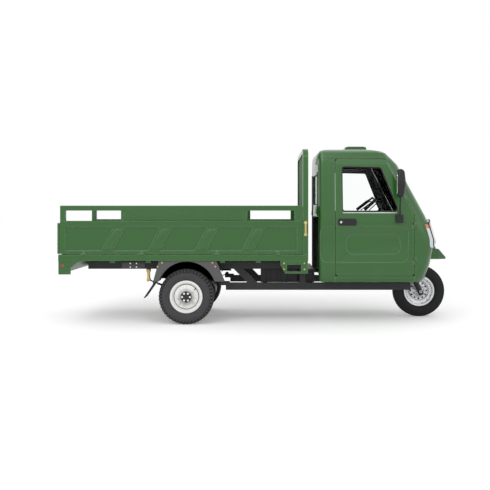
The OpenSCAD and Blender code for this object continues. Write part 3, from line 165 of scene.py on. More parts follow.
@dataclass(frozen=True)
class Finish:
    """A surface finish made of one shader, the shared grain and a painted highlight along edges."""

    name: str
    color: Color
    roughness: float
    metallic: float = 0.0
    coat: float = 0.0
    transmission: float = 0.0
    grain: float = 40.0
    mottle: float = 0.06
    bump: float = 0.0
    edge: float = 0.002
    specular: float = 0.5
    # Strength and colour of the painted highlight that lightens edges and folds
    crease: float = 0.0
    crease_color: Color = (0.30, 0.48, 0.27)

    def material(self) -> bpy.types.Material:
        """Returns the finish as a material, made on first use."""
        if self.name in bpy.data.materials:
            return bpy.data.materials[self.name]
        made = bpy.data.materials.new(self.name)
        made.use_nodes = True
        tree = made.node_tree
        shader = tree.nodes["Principled BSDF"]
        for socket, value in (
            ("Roughness", self.roughness),
            ("Metallic", self.metallic),
            ("Coat Weight", self.coat),
            ("Coat Roughness", COAT_ROUGHNESS),
            ("Specular IOR Level", self.specular),
            ("Transmission Weight", self.transmission),
            ("IOR", PANE_IOR if self.transmission else SOLID_IOR),
        ):
            shader.inputs[socket].default_value = value
        if self.mottle == 0:
            self.fill_color(tree, shader.inputs["Base Color"])
            return made
        grain = tree.nodes.new("ShaderNodeGroup")
        grain.node_tree = grain_and_painted_highlight()
        for socket, value in (
            ("Scale", self.grain),
            ("Mottle", self.mottle),
            ("Bump", self.bump),
            ("Edge", self.edge),
            ("Crease", self.crease),
        ):
            grain.inputs[socket].default_value = value
        tinted = tree.nodes.new("ShaderNodeMix")
        tinted.data_type, tinted.blend_type = "RGBA", "MULTIPLY"
        tinted.inputs["Factor"].default_value = 1.0
        self.fill_color(tree, tinted.inputs["A"])
        tree.links.new(grain.outputs["Value"], tinted.inputs["B"])
        # Painted highlight: the colour is mixed towards a pale green along edges and folds
        lit = tree.nodes.new("ShaderNodeMix")
        lit.data_type = "RGBA"
        lit.inputs["B"].default_value = (*self.crease_color, 1.0)
        tree.links.new(grain.outputs["Crease"], lit.inputs["Factor"])
        tree.links.new(tinted.outputs["Result"], lit.inputs["A"])
        tree.links.new(lit.outputs["Result"], shader.inputs["Base Color"])
        tree.links.new(grain.outputs["Normal"], shader.inputs["Normal"])
        return made

    def fill_color(self, tree: bpy.types.NodeTree, target: bpy.types.NodeSocket) -> None:
        """Gives the base colour.

        Args:
            tree: the material's nodes.
            target: the colour socket to fill.
        """
        target.default_value = (*self.color, 1.0)


@dataclass(frozen=True)
class BandedFinish(Finish):
    """A finish whose colour changes with height, as on a lamp of several lenses."""

    bands: tuple[tuple[float, Color], ...] = ()
    top: float = 2.0

    def fill_color(self, tree: bpy.types.NodeTree, target: bpy.types.NodeSocket) -> None:
        """Gives the base colour by bands of height.

        Args:
            tree: the material's nodes.
            target: the colour socket to fill.
        """
        nodes, links = tree.nodes, tree.links
        place, split = nodes.new("ShaderNodeTexCoord"), nodes.new("ShaderNodeSeparateXYZ")
        share, ramp = nodes.new("ShaderNodeMath"), nodes.new("ShaderNodeValToRGB")
        share.operation = "DIVIDE"
        share.inputs[1].default_value = self.top
        ramp.color_ramp.interpolation = "CONSTANT"
        ramp.color_ramp.elements[1].position = 1.0
        ramp.color_ramp.elements[0].color = (*self.color, 1.0)
        for height, color in self.bands:
            ramp.color_ramp.elements.new(height / self.top).color = (*color, 1.0)
        links.new(place.outputs["Object"], split.inputs["Vector"])
        links.new(split.outputs["Z"], share.inputs[0])
        links.new(share.outputs[0], ramp.inputs["Fac"])
        links.new(ramp.outputs["Color"], target)


@dataclass(frozen=True)
class InwardDarkFinish(Finish):
    """A paint whose faces turned towards the middle of the cab are coloured near-black."""

    inward_color: Color = (0.02, 0.02, 0.022)
    middle: Point = (1.15, 0.0, 1.12)
    facing_limit: float = -0.02

    def fill_color(self, tree: bpy.types.NodeTree, target: bpy.types.NodeSocket) -> None:
        """Gives the paint outside and the near-black colour inside.

        Args:
            tree: the material's nodes.
            target: the colour socket to fill.
        """
        nodes, links = tree.nodes, tree.links
        place, away = nodes.new("ShaderNodeTexCoord"), nodes.new("ShaderNodeVectorMath")
        facing, inside = nodes.new("ShaderNodeVectorMath"), nodes.new("ShaderNodeMath")
        choose = nodes.new("ShaderNodeMix")
        away.operation, facing.operation, inside.operation = "SUBTRACT", "DOT_PRODUCT", "LESS_THAN"
        away.inputs[1].default_value = self.middle
        inside.inputs[1].default_value = self.facing_limit
        choose.data_type = "RGBA"
        choose.inputs["A"].default_value = (*self.color, 1.0)
        choose.inputs["B"].default_value = (*self.inward_color, 1.0)
        links.new(place.outputs["Object"], away.inputs[0])
        links.new(place.outputs["Normal"], facing.inputs[0])
        links.new(away.outputs["Vector"], facing.inputs[1])
        links.new(facing.outputs["Value"], inside.inputs[0])
        links.new(inside.outputs[0], choose.inputs["Factor"])
        links.new(choose.outputs["Result"], target)


# The green paint carries a painted highlight along its edges
PAINT = Finish(
    "GreenPaint", (0.015, 0.100, 0.010), 0.28, coat=0.4, grain=3.0, mottle=0.05, edge=0.010, crease=1.8
)
CAB_PAINT = InwardDarkFinish(
    "CabPaint", PAINT.color, PAINT.roughness, coat=PAINT.coat, grain=PAINT.grain, mottle=PAINT.mottle,
    edge=PAINT.edge, crease=PAINT.crease,
)
FRAME_BLACK = Finish(
    "FrameBlack", (0.026, 0.026, 0.027), 0.45, grain=60.0, mottle=0.2, bump=0.08, specular=0.3
)
FENDER = Finish("FenderPlastic", (0.082, 0.080, 0.082), 0.55, grain=160.0, mottle=0.1, bump=0.1)
ZINC = Finish("ZincYellow", (0.62, 0.47, 0.19), 0.38, metallic=0.9, grain=20.0, mottle=0.3)
DAMPER = Finish("DamperRed", (0.24, 0.05, 0.03), 0.4, grain=60.0)
TYRE = Finish("TyreRubber", (0.055, 0.055, 0.058), 0.8, grain=90.0, mottle=0.2, bump=0.15, specular=0.3)
FRONT_TYRE = Finish(
    "FrontTyreRubber", (0.010, 0.010, 0.011), 0.55, grain=90.0, mottle=0.2, bump=0.1, specular=0.25
)
WHITE = Finish("RimWhite", (0.78, 0.78, 0.76), 0.35, coat=0.4, grain=8.0, mottle=0.04)
SILVER = Finish("RimSilver", (0.68, 0.69, 0.71), 0.36, metallic=0.85, grain=30.0, mottle=0.06)
CHROME = Finish("BrightSteel", (0.78, 0.78, 0.78), 0.18, metallic=1.0, grain=30.0, mottle=0.04)
GLASS = Finish("WindowGlass", (0.98, 0.99, 0.985), 0.0, transmission=1.0, mottle=0.0)
MIRROR = Finish("MirrorGlass", (0.85, 0.87, 0.88), 0.03, metallic=1.0, mottle=0.0)
LAMP = BandedFinish(
    "HeadlampLens", (0.62, 0.64, 0.66), 0.08, coat=1.0, grain=220.0, mottle=0.12, bump=0.25,
    bands=((0.985, (0.55, 0.22, 0.12)), (1.03, (0.015, 0.015, 0.016))),
)
RED_LENS = Finish("RedLens", (0.34, 0.015, 0.012), 0.12, coat=1.0, grain=240.0, mottle=0.15, bump=0.2)
TRIM = Finish("BlackTrim", (0.020, 0.020, 0.022), 0.42, grain=200.0, mottle=0.08, bump=0.06, specular=0.25)
RUBBER = Finish("SealRubber", (0.014, 0.014, 0.014), 0.65, grain=120.0, mottle=0.1)
SEAT = Finish("BenchLeather", (0.022, 0.022, 0.025), 0.5, grain=420.0, mottle=0.2, bump=0.35)
PLATE = Finish("BlankPlate", (0.62, 0.62, 0.58), 0.4, mottle=0.03)

SLOT_FINISH: dict[str, Finish] = {
    "paint": PAINT, "frame": FRAME_BLACK, "fender": FENDER, "zinc": ZINC, "damper": DAMPER, "tyre": TYRE,
    "rim_rear": WHITE, "rim_front": SILVER, "glass": GLASS, "lamp": LAMP, "lamp_red": RED_LENS,
    "trim": TRIM, "rubber": RUBBER, "seat": SEAT,
}


# Making and placing pieces


class Workshop:
    """Makes meshes with Blender's operators and hangs them on CAD bodies."""

    @staticmethod
    def select_only(obj: bpy.types.Object) -> None:
        """Makes one object the only selected and the active one.

        Args:
            obj: the object.
        """
        bpy.ops.object.select_all(action="DESELECT")
        obj.select_set(True)
        bpy.context.view_layer.objects.active = obj

    @staticmethod
    def settle(obj: bpy.types.Object, name: str) -> bpy.types.Object:
        """Names an object and moves its place into its mesh.

        Args:
            obj: the object.
            name: its new name.

        Returns:
            The object.
        """
        obj.name = obj.data.name = name
        Workshop.select_only(obj)
        bpy.ops.object.transform_apply(location=True, rotation=True, scale=True)
        return obj

    @staticmethod
    def box(name: str, low: Sequence[float], high: Sequence[float], edge: float = 0.0) -> bpy.types.Object:
        """Makes a box between two corners.

        Args:
            name: name of the box.
            low: lower corner.
            high: upper corner.
            edge: radius of its edges, 0 for sharp ones.

        Returns:
            The box.
        """
        a, b = Vector(low), Vector(high)
        bpy.ops.object.select_all(action="DESELECT")
        bpy.ops.mesh.primitive_cube_add(size=1.0, location=(a + b) / 2, scale=b - a)
        obj = Workshop.settle(bpy.context.object, name)
        if edge > 0:
            bpy.ops.object.mode_set(mode="EDIT")
            bpy.ops.mesh.select_all(action="SELECT")
            bpy.ops.mesh.bevel(offset=edge, segments=3, affect="EDGES")
            bpy.ops.object.mode_set(mode="OBJECT")
        return obj

    @staticmethod
    def rod(
        name: str, start: Sequence[float], end: Sequence[float], radius: float, sides: int = 32
    ) -> bpy.types.Object:
        """Makes a round or polygonal bar between two points.

        Args:
            name: name of the bar.
            start: middle of one end.
            end: middle of the other end.
            radius: its radius.
            sides: number of sides.

        Returns:
            The bar.
        """
        a, b = Vector(start), Vector(end)
        turn = (b - a).to_track_quat("Z", "Y").to_euler()
        bpy.ops.object.select_all(action="DESELECT")
        bpy.ops.mesh.primitive_cylinder_add(
            vertices=sides, radius=radius, depth=(b - a).length, location=(a + b) / 2, rotation=turn
        )
        return Workshop.settle(bpy.context.object, name)

    @staticmethod
    def tube(name: str, points: Sequence[Sequence[float]], radius: float, closed: bool) -> bpy.types.Object:
        """Makes a tube that follows points.

        Args:
            name: name of the tube.
            points: points along its middle.
            radius: its radius.
            closed: whether its ends meet.

        Returns:
            The tube.
        """
        bpy.ops.object.select_all(action="DESELECT")
        bpy.ops.curve.primitive_nurbs_path_add()
        curve = bpy.context.object.data
        curve.splines.clear()
        spline = curve.splines.new("POLY")
        spline.points.add(len(points) - 1)
        for target, point in zip(spline.points, points):
            target.co = (*point, 1.0)
        spline.use_cyclic_u = closed
        curve.bevel_depth, curve.bevel_resolution = radius, 3
        curve.use_fill_caps = True
        bpy.ops.object.convert(target="MESH")
        return Workshop.settle(bpy.context.object, name)

    @staticmethod
    def ring(
        name: str, middle: Sequence[float], axis: Sequence[float], radius: float, thickness: float
    ) -> bpy.types.Object:
        """Makes a round ring about an axis.

        Args:
            name: name of the ring.
            middle: its middle.
            axis: direction of its axis.
            radius: radius of its middle line.
            thickness: radius of its section.

        Returns:
            The ring.
        """
        bpy.ops.object.select_all(action="DESELECT")
        bpy.ops.mesh.primitive_torus_add(
            location=middle, rotation=Vector(axis).to_track_quat("Z", "Y").to_euler(), major_segments=96,
            minor_segments=8, major_radius=radius, minor_radius=thickness,
        )
        return Workshop.settle(bpy.context.object, name)

    @staticmethod
    def surface(node: str) -> BVHTree:
        """Returns a CAD node's surface, to lay pieces on.

        Args:
            node: name of the node.
        """
        mesh = NODES[node].data
        return BVHTree.FromPolygons([v.co for v in mesh.vertices], [p.vertices for p in mesh.polygons])

    @staticmethod
    def join(name: str, parts: Iterable[bpy.types.Object]) -> bpy.types.Object:
        """Joins several objects into one.

        Args:
            name: name of the joined object.
            parts: the objects.

        Returns:
            The joined object.
        """
        group = list(parts)
        Workshop.select_only(group[0])
        for part in group:
            part.select_set(True)
        bpy.ops.object.join()
        return Workshop.settle(bpy.context.object, name)

    @staticmethod
    def hang(
        obj: bpy.types.Object, body: str | Body, finish: Finish, slot: str, stands_for: Sequence[str] = ()
    ) -> bpy.types.Object:
        """Gives a piece its finish, its smooth shading and its body.

        Args:
            obj: the finished piece.
            body: CAD body that carries it.
            finish: its surface finish.
            slot: the record's material slot; not used.
            stands_for: CAD nodes that it is shown instead of.

        Returns:
            The piece.
        """
        Workshop.select_only(obj)
        bpy.ops.object.shade_smooth_by_angle(angle=math.radians(SMOOTH_DEG))
        obj.data.materials.clear()
        obj.data.materials.append(finish.material())
        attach(obj, body.value if isinstance(body, Body) else body)
        if stands_for:
            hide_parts(*stands_for)
        return obj


@dataclass(frozen=True)
class PanelDresser:
    """Shows a CAD node as a merged copy with soft edges and smooth curves."""

    edge: float = 0.0025
    limit_deg: float = 38.0
    merge_gap: float = 0.00002
    flat_deg: float = 0.6

    def dress(self, node: str, finish: Finish, slot: str) -> bpy.types.Object:
        """Dresses one node.

        Args:
            node: CAD node to copy.
            finish: its surface finish.
            slot: the record's material slot.

        Returns:
            The dressed copy.
        """
        body = NODES[node]["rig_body"]
        Workshop.select_only(NODES[node])
        bpy.ops.object.duplicate()
        copy = bpy.context.object
        bpy.ops.object.parent_clear(type="CLEAR_KEEP_TRANSFORM")
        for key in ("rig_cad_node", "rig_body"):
            del copy[key]
        Workshop.settle(copy, f"{node}_panel")
        bpy.ops.object.mode_set(mode="EDIT")
        bpy.ops.mesh.select_all(action="SELECT")
        bpy.ops.mesh.remove_doubles(threshold=self.merge_gap)
        bpy.ops.mesh.dissolve_limited(angle_limit=math.radians(self.flat_deg))
        bpy.ops.object.mode_set(mode="OBJECT")
        Workshop.hang(copy, body, finish, slot, [node])
        if self.edge > 0:
            rounding = copy.modifiers.new("Rounding", "BEVEL")
            rounding.width, rounding.segments = self.edge, 2
            rounding.limit_method, rounding.angle_limit = "ANGLE", math.radians(self.limit_deg)
        return copy


# Sub-assemblies


@dataclass(frozen=True)
class RearWheel:
    """Tread lugs, hub, nuts and valve of a rear wheel. Depths are measured in from the rim's edge."""

    side: Side
    lug_count: int = 46
    lug_size: Point = (0.019, 0.026, 0.034)
    lug_radius: float = 0.2625
    lug_offset: float = 0.0575
    lug_tilt: float = 0.55
    lug_skew: float = 0.25
    lug_stagger: float = 0.25
    band_radius: float = 0.2615
    band_thickness: float = 0.0135
    hub_radius: float = 0.0573
    hub_depths: Span = (0.030, 0.0155)
    cap_radius: float = 0.0275
    cap_depths: Span = (0.016, -0.0005)
    nut_count: int = 6
    nut_ring: float = 0.040
    nut_radius: float = 0.0118
    nut_depths: Span = (0.016, 0.0035)
    groove_radius: float = 0.128
    groove_thickness: float = 0.003
    groove_depth: float = 0.039
    valve_turn: float = 42.0
    valve_rings: Span = (0.128, 0.116)
    valve_depths: Span = (0.045, 0.012)
    valve_radius: float = 0.0045

    @property
    def body(self) -> str:
        """The wheel's CAD body."""
        return self.side.name_of("rear_wheel")

    @property
    def middle(self) -> Vector:
        """The middle of the tyre."""
        low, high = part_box(self.side.name_of("rear_tyre"))
        return (low + high) / 2

    def at(self, ring: float, turn_deg: float, depth: float) -> Vector:
        """Returns a point on the outside of the wheel.

        Args:
            ring: distance from the axle.
            turn_deg: angle round the axle.
            depth: distance in from the rim's edge.
        """
        low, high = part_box(self.side.name_of("rear_rim"))
        face = max(abs(low.y), abs(high.y))
        turn, middle = math.radians(turn_deg), self.middle
        spot = middle + ring * Vector((math.cos(turn), 0.0, math.sin(turn)))
        spot.y = self.side.value * (face - depth)
        return spot

    def tread(self) -> None:
        """Builds the lugs of both shoulders and the dark bands between them."""
        middle = self.middle
        bpy.ops.object.select_all(action="DESELECT")
        bpy.ops.mesh.primitive_cube_add(size=1.0)
        lugs = bpy.context.object
        bpy.ops.object.mode_set(mode="EDIT")
        bpy.ops.mesh.delete(type="VERT")
        for shoulder in (-1, 1):
            for index in range(self.lug_count):
                turn = 2 * math.pi * (index + self.lug_stagger * shoulder) / self.lug_count
                across, up = self.lug_radius * math.sin(turn), self.lug_radius * math.cos(turn)
                bpy.ops.mesh.primitive_cube_add(
                    size=1.0, location=middle + Vector((across, shoulder * self.lug_offset, up)),
                    rotation=(self.lug_tilt * shoulder, turn, self.lug_skew * shoulder), scale=self.lug_size,
                )
        bpy.ops.object.mode_set(mode="OBJECT")
        Workshop.settle(lugs, self.side.name_of("tread_lugs"))
        Workshop.hang(lugs, self.body, TYRE, "tyre")
        places = [middle + shoulder * self.lug_offset * AXLE for shoulder in (-1, 1)]
        rings = [
            Workshop.ring("band", place, AXLE, self.band_radius, self.band_thickness) for place in places
        ]
        bands = Workshop.join(self.side.name_of("tread_bands"), rings)
        Workshop.hang(bands, self.body, FRONT_TYRE, "tyre")

    def hub(self) -> None:
        """Builds the hub plate with its cap and nuts."""
        ends = [self.at(0, 0, depth) for depth in self.hub_depths]
        plate = Workshop.rod("plate", *ends, self.hub_radius, 64)
        ends = [self.at(0, 0, depth) for depth in self.cap_depths]
        cap = Workshop.rod("cap", *ends, self.cap_radius, 48)
        hub = Workshop.join(self.side.name_of("hub_plate"), [plate, cap])
        Workshop.hang(hub, self.body, FRAME_BLACK, "frame")
        nuts = []
        for index in range(self.nut_count):
            turn = 360 * index / self.nut_count
            ends = [self.at(self.nut_ring, turn, depth) for depth in self.nut_depths]
            nuts.append(Workshop.rod("nut", *ends, self.nut_radius, 6))
        ring = Workshop.join(self.side.name_of("wheel_nuts"), nuts)
        Workshop.hang(ring, self.body, CHROME, "rim_front")

    def disc(self) -> None:
        """Builds the dark ring of the wheel disc and the valve."""
        middle = self.at(0, 0, self.groove_depth)
        name = self.side.name_of("disc_ring")
        groove = Workshop.ring(name, middle, AXLE, self.groove_radius, self.groove_thickness)
        Workshop.hang(groove, self.body, TRIM, "trim")
        spots = zip(self.valve_rings, self.valve_depths)
        ends = [self.at(ring, self.valve_turn, depth) for ring, depth in spots]
        valve = Workshop.rod(self.side.name_of("valve"), *ends, self.valve_radius, 16)
        Workshop.hang(valve, self.body, TRIM, "trim")

    def build(self) -> None:
        """Builds the pieces on the wheel's body."""
        self.tread()
        self.hub()
        self.disc()


@dataclass(frozen=True)
class FrontWheel:
    """Rib bands of the front tyre, vents of its rim and the axle nuts."""

    rib_offsets: tuple[float, ...] = (-0.026, 0.0, 0.026)
    rib_radius: float = 0.0035
    crown: float = 0.08
    vents: int = 12
    vent_ring: float = 0.088
    vent_radius: float = 0.010
    vent_sunk: float = 0.002
    vent_proud: float = 0.001
    nut_radius: float = 0.016
    nut_sunk: float = 0.009
    nut_length: float = 0.008

    def build(self) -> None:
        """Builds the pieces on the front wheel and the fork."""
        low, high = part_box("front_tyre")
        middle = (low + high) / 2
        reach = high.z - middle.z - self.rib_radius
        rings = []
        for offset in self.rib_offsets:
            radius = reach - abs(offset) * self.crown
            rings.append(Workshop.ring("rib", middle + offset * AXLE, AXLE, radius, self.rib_radius))
        Workshop.hang(Workshop.join("front_tread_ribs", rings), Body.FRONT_WHEEL, FRONT_TYRE, "tyre")
        rim = Workshop.surface("front_rim")
        vents = []
        for side in Side:
            for index in range(self.vents):
                turn = 2 * math.pi * index / self.vents
                spot = middle + self.vent_ring * Vector((math.cos(turn), 0.0, math.sin(turn)))
                spot.y = side.value * FAR
                place, normal, _, _ = rim.ray_cast(spot, -side.value * AXLE)
                ends = (place - normal * self.vent_sunk, place + normal * self.vent_proud)
                vents.append(Workshop.rod("vent", *ends, self.vent_radius, 24))
        Workshop.hang(Workshop.join("front_rim_vents", vents), Body.FRONT_WHEEL, FRAME_BLACK, "frame")
        _, fork_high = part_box("front_fork")
        for side in Side:
            start = Vector((middle.x, side.value * (fork_high.y - self.nut_sunk), middle.z))
            end = start + side.value * self.nut_length * AXLE
            nut = Workshop.rod(side.name_of("axle_nut"), start, end, self.nut_radius, 6)
            Workshop.hang(nut, Body.STEERING, CHROME, "rim_front")


@dataclass(frozen=True)
class WindowSeal:
    """Rubber seal round a convex pane or lens, laid on the face that looks out.

    Where half is not 0, only that side of the node is outlined.
    """

    pane: str
    body: str | Body
    axis: int
    outside: int
    radius: float = 0.010
    pitch: float = 0.05
    draw_in: float = 0.988
    half: int = 0

    def corners(self) -> list[Vector]:
        """Returns the pane's outline seen along its axis, as flat points in order."""
        first, second = (k for k in range(3) if k != self.axis)
        points = [v.co for v in NODES[self.pane].data.vertices if self.half * v.co.y >= 0]
        flat = sorted({(round(p[first], 4), round(p[second], 4)) for p in points})

        def chain(points: Iterable[Span]) -> list[Vector]:
            kept: list[Vector] = []
            for point in points:
                here = Vector(point)
                while len(kept) > 1 and (kept[-1] - kept[-2]).cross(here - kept[-2]) <= 0:
                    kept.pop()
                kept.append(here)
            return kept[:-1]

        return chain(flat) + chain(reversed(flat))

    def outline(self) -> list[Vector]:
        """Returns points along the edge of the pane's outer face."""
        tree = Workshop.surface(self.pane)
        first, second = (k for k in range(3) if k != self.axis)
        ring = self.corners()
        middle = sum(ring, Vector((0.0, 0.0))) / len(ring)
        inward = Vector((0.0, 0.0, 0.0))
        inward[self.axis] = -self.outside
        found = []
        for start, end in zip(ring, ring[1:] + ring[:1]):
            steps = max(1, round((end - start).length / self.pitch))
            for step in range(steps):
                spot = middle + (start.lerp(end, step / steps) - middle) * self.draw_in
                origin = -FAR * inward
                origin[first], origin[second] = spot
                place = tree.ray_cast(origin, inward)[0]
                if place is not None:
                    found.append(place)
        return found

    def build(self) -> None:
        """Builds the seal on the pane's body."""
        stem = f"{self.pane}_seal"
        name = stem if self.half == 0 else Side(self.half).name_of(stem)
        Workshop.hang(Workshop.tube(name, self.outline(), self.radius, True), self.body, RUBBER, "rubber")


@dataclass(frozen=True)
class DoorDress:
    """Mirror glass, lock, inner card and window strip of a door."""

    side: Side
    head_half: float = 0.055
    glass_half: Span = (0.034, 0.115)
    glass_drop: float = 0.143
    glass_thickness: float = 0.004
    glass_proud: float = 0.001
    lock_in: float = 0.030
    lock_radius: float = 0.012
    lock_sunk: float = 0.006
    lock_proud: float = 0.003
    card_out: float = 0.566
    card_thickness: float = 0.010
    card_margin: float = 0.05
    card_front_margin: float = 0.09
    card_edge: float = 0.004
    strip_out: float = 0.600
    strip_in: float = 0.010
    strip_drop: float = 0.010
    strip_radius: float = 0.005

    @property
    def body(self) -> str:
        """The door's CAD body."""
        return self.side.name_of("door")

    def mirror(self) -> None:
        """Builds the mirror's glass."""
        low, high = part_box(self.side.name_of("mirror"))
        middle_y = (max(abs(low.y), abs(high.y)) - self.head_half) * self.side.value
        bpy.ops.object.select_all(action="DESELECT")
        bpy.ops.mesh.primitive_cylinder_add(
            vertices=48, radius=1.0, depth=self.glass_thickness,
            location=(low.x - self.glass_proud, middle_y, high.z - self.glass_drop),
            rotation=(0.0, math.pi / 2, 0.0), scale=(self.glass_half[1], self.glass_half[0], 1.0),
        )
        glass = Workshop.settle(bpy.context.object, self.side.name_of("mirror_glass"))
        Workshop.hang(glass, self.body, MIRROR, "glass")

    def lock(self) -> None:
        """Builds the lock in the handle."""
        low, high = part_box(self.side.name_of("door_handle"))
        out = max(abs(low.y), abs(high.y))
        x, z = low.x + self.lock_in, (low.z + high.z) / 2
        ends = [(x, self.side.value * y, z) for y in (out - self.lock_sunk, out + self.lock_proud)]
        lock = Workshop.rod(self.side.name_of("door_lock"), *ends, self.lock_radius)
        Workshop.hang(lock, self.body, CHROME, "rim_front")

    def inward_color(self) -> None:
        """Builds the inner card and the strip under the window."""
        pane_low, pane_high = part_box(self.side.name_of("door_glass"))
        low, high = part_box(self.side.name_of("door"))
        ys = sorted(self.side.value * y for y in (self.card_out, self.card_out - self.card_thickness))
        card = Workshop.box(
            self.side.name_of("door_card"), (low.x + self.card_margin, ys[0], low.z + self.card_margin),
            (high.x - self.card_front_margin, ys[1], pane_low.z - self.card_margin), self.card_edge,
        )
        Workshop.hang(card, self.body, TRIM, "trim")
        y, z = self.side.value * self.strip_out, pane_low.z - self.strip_drop
        ends = [(x, y, z) for x in (pane_low.x + self.strip_in, pane_high.x - self.strip_in)]
        strip = Workshop.rod(self.side.name_of("window_strip"), *ends, self.strip_radius, 16)
        Workshop.hang(strip, self.body, CHROME, "rim_front")

    def build(self) -> None:
        """Builds the pieces on the door's body."""
        self.mirror()
        self.lock()
        self.inward_color()


@dataclass(frozen=True)
class Seats:
    """Padded bench and backrest."""

    edge: float = 0.028
    pleats: int = 9
    cushion_fill: float = 0.8
    back_fill: float = 0.75

    def pad(self, node: str, fill: float) -> None:
        """Builds one pad in the place of a plain CAD block.

        Args:
            node: CAD node that the pad stands for.
            fill: how full the pad is, from 0 to 1; not used.
        """
        low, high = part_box(node)
        pitch = (high.y - low.y) / self.pleats
        parts = []
        for index in range(self.pleats):
            start, end = low.y + index * pitch, low.y + (index + 1) * pitch
            parts.append(Workshop.box("pleat", (low.x, start, low.z), (high.x, end, high.z), self.edge))
        pad = Workshop.join(f"{node}_pad", parts)
        Workshop.hang(pad, Body.CHASSIS, SEAT, "seat", [node])

    def build(self) -> None:
        """Builds both pads."""
        self.pad("seat_cushion", self.cushion_fill)
        self.pad("seat_back", self.back_fill)


@dataclass(frozen=True)
class FrontLamps:
    """Rings and seals of the headlamps."""

    middle_y: float = 0.452
    middle_z: float = 0.895
    ring_radii: tuple[float, ...] = (0.060, 0.038)
    ring_thickness: float = 0.004
    seal_radius: float = 0.006

    def build(self) -> None:
        """Builds the pieces on the chassis body."""
        lens = Workshop.surface("headlamps")
        for side in Side:
            origin = Vector((FAR, side.value * self.middle_y, self.middle_z))
            place, normal, _, _ = lens.ray_cast(origin, BACKWARD)
            rings = [
                Workshop.ring("reflector", place, normal, radius, self.ring_thickness)
                for radius in self.ring_radii
            ]
            reflector = Workshop.join(side.name_of("lamp_rings"), rings)
            Workshop.hang(reflector, Body.CHASSIS, CHROME, "rim_front")
            WindowSeal(
                "headlamps", Body.CHASSIS, axis=0, outside=1, radius=self.seal_radius, half=side.value
            ).build()


@dataclass(frozen=True)
class RoofGutter:
    """Rain gutters along the lower edges of the roof."""

    back: float = 0.68
    front: float = 1.30
    height: float = 1.722
    radius: float = 0.006
    steps: int = 16

    def build(self) -> None:
        """Builds one gutter on each side."""
        roof = Workshop.surface("cab_roof")
        for side in Side:
            points = []
            for step in range(self.steps + 1):
                x = self.back + (self.front - self.back) * step / self.steps
                place = roof.ray_cast(Vector((x, side.value * FAR, self.height)), -side.value * AXLE)[0]
                if place is not None:
                    points.append(place)
            gutter = Workshop.tube(side.name_of("roof_gutter"), points, self.radius, False)
            Workshop.hang(gutter, Body.CHASSIS, PAINT, "paint")


@dataclass(frozen=True)
class BoardPressings:
    """Raised middles of the leaning ribs on the side boards."""

    first: float = -1.545
    pitch: float = 0.478
    count: int = 4
    width: float = 0.074
    low: float = 0.785
    high: float = 0.986
    slope: float = 0.523
    foot: float = 0.765
    face: float = 0.650
    height: float = 0.003
    edge: float = 0.0025

    def build(self) -> None:
        """Builds one joined piece on each board."""
        for side in Side:
            ys = sorted(side.value * y for y in (self.face - self.height, self.face + self.height))
            plates = []
            for index in range(self.count):
                middle = self.first + index * self.pitch
                back, front = middle - self.width / 2, middle + self.width / 2
                low, high = (back, ys[0], self.low), (front, ys[1], self.high)
                plate = Workshop.box("pressing", low, high, self.edge)
                for vertex in plate.data.vertices:
                    vertex.co.x += self.slope * (vertex.co.z - self.foot)
                plates.append(plate)
            pressed = Workshop.join(side.name_of("board_pressings"), plates)
            Workshop.hang(pressed, side.name_of("side_board"), PAINT, "paint")


@dataclass(frozen=True)
class RearBeads:
    """Upright beads pressed into the cab's rear wall, beside its window."""

    places: tuple[float, ...] = (0.40, 0.455, 0.51)
    low: float = 0.80
    high: float = 1.58
    radius: float = 0.010
    steps: int = 12

    def build(self) -> None:
        """Builds the beads of both sides as one piece."""
        wall = Workshop.surface("cab_rear")
        beads = []
        for side in Side:
            for y in self.places:
                points = []
                for step in range(self.steps + 1):
                    z = self.low + (self.high - self.low) * step / self.steps
                    place = wall.ray_cast(Vector((-FAR, side.value * y, z)), FORWARD)[0]
                    if place is not None:
                        points.append(place)
                beads.append(Workshop.tube("bead", points, self.radius, False))
        Workshop.hang(Workshop.join("rear_beads", beads), Body.CHASSIS, PAINT, "paint")


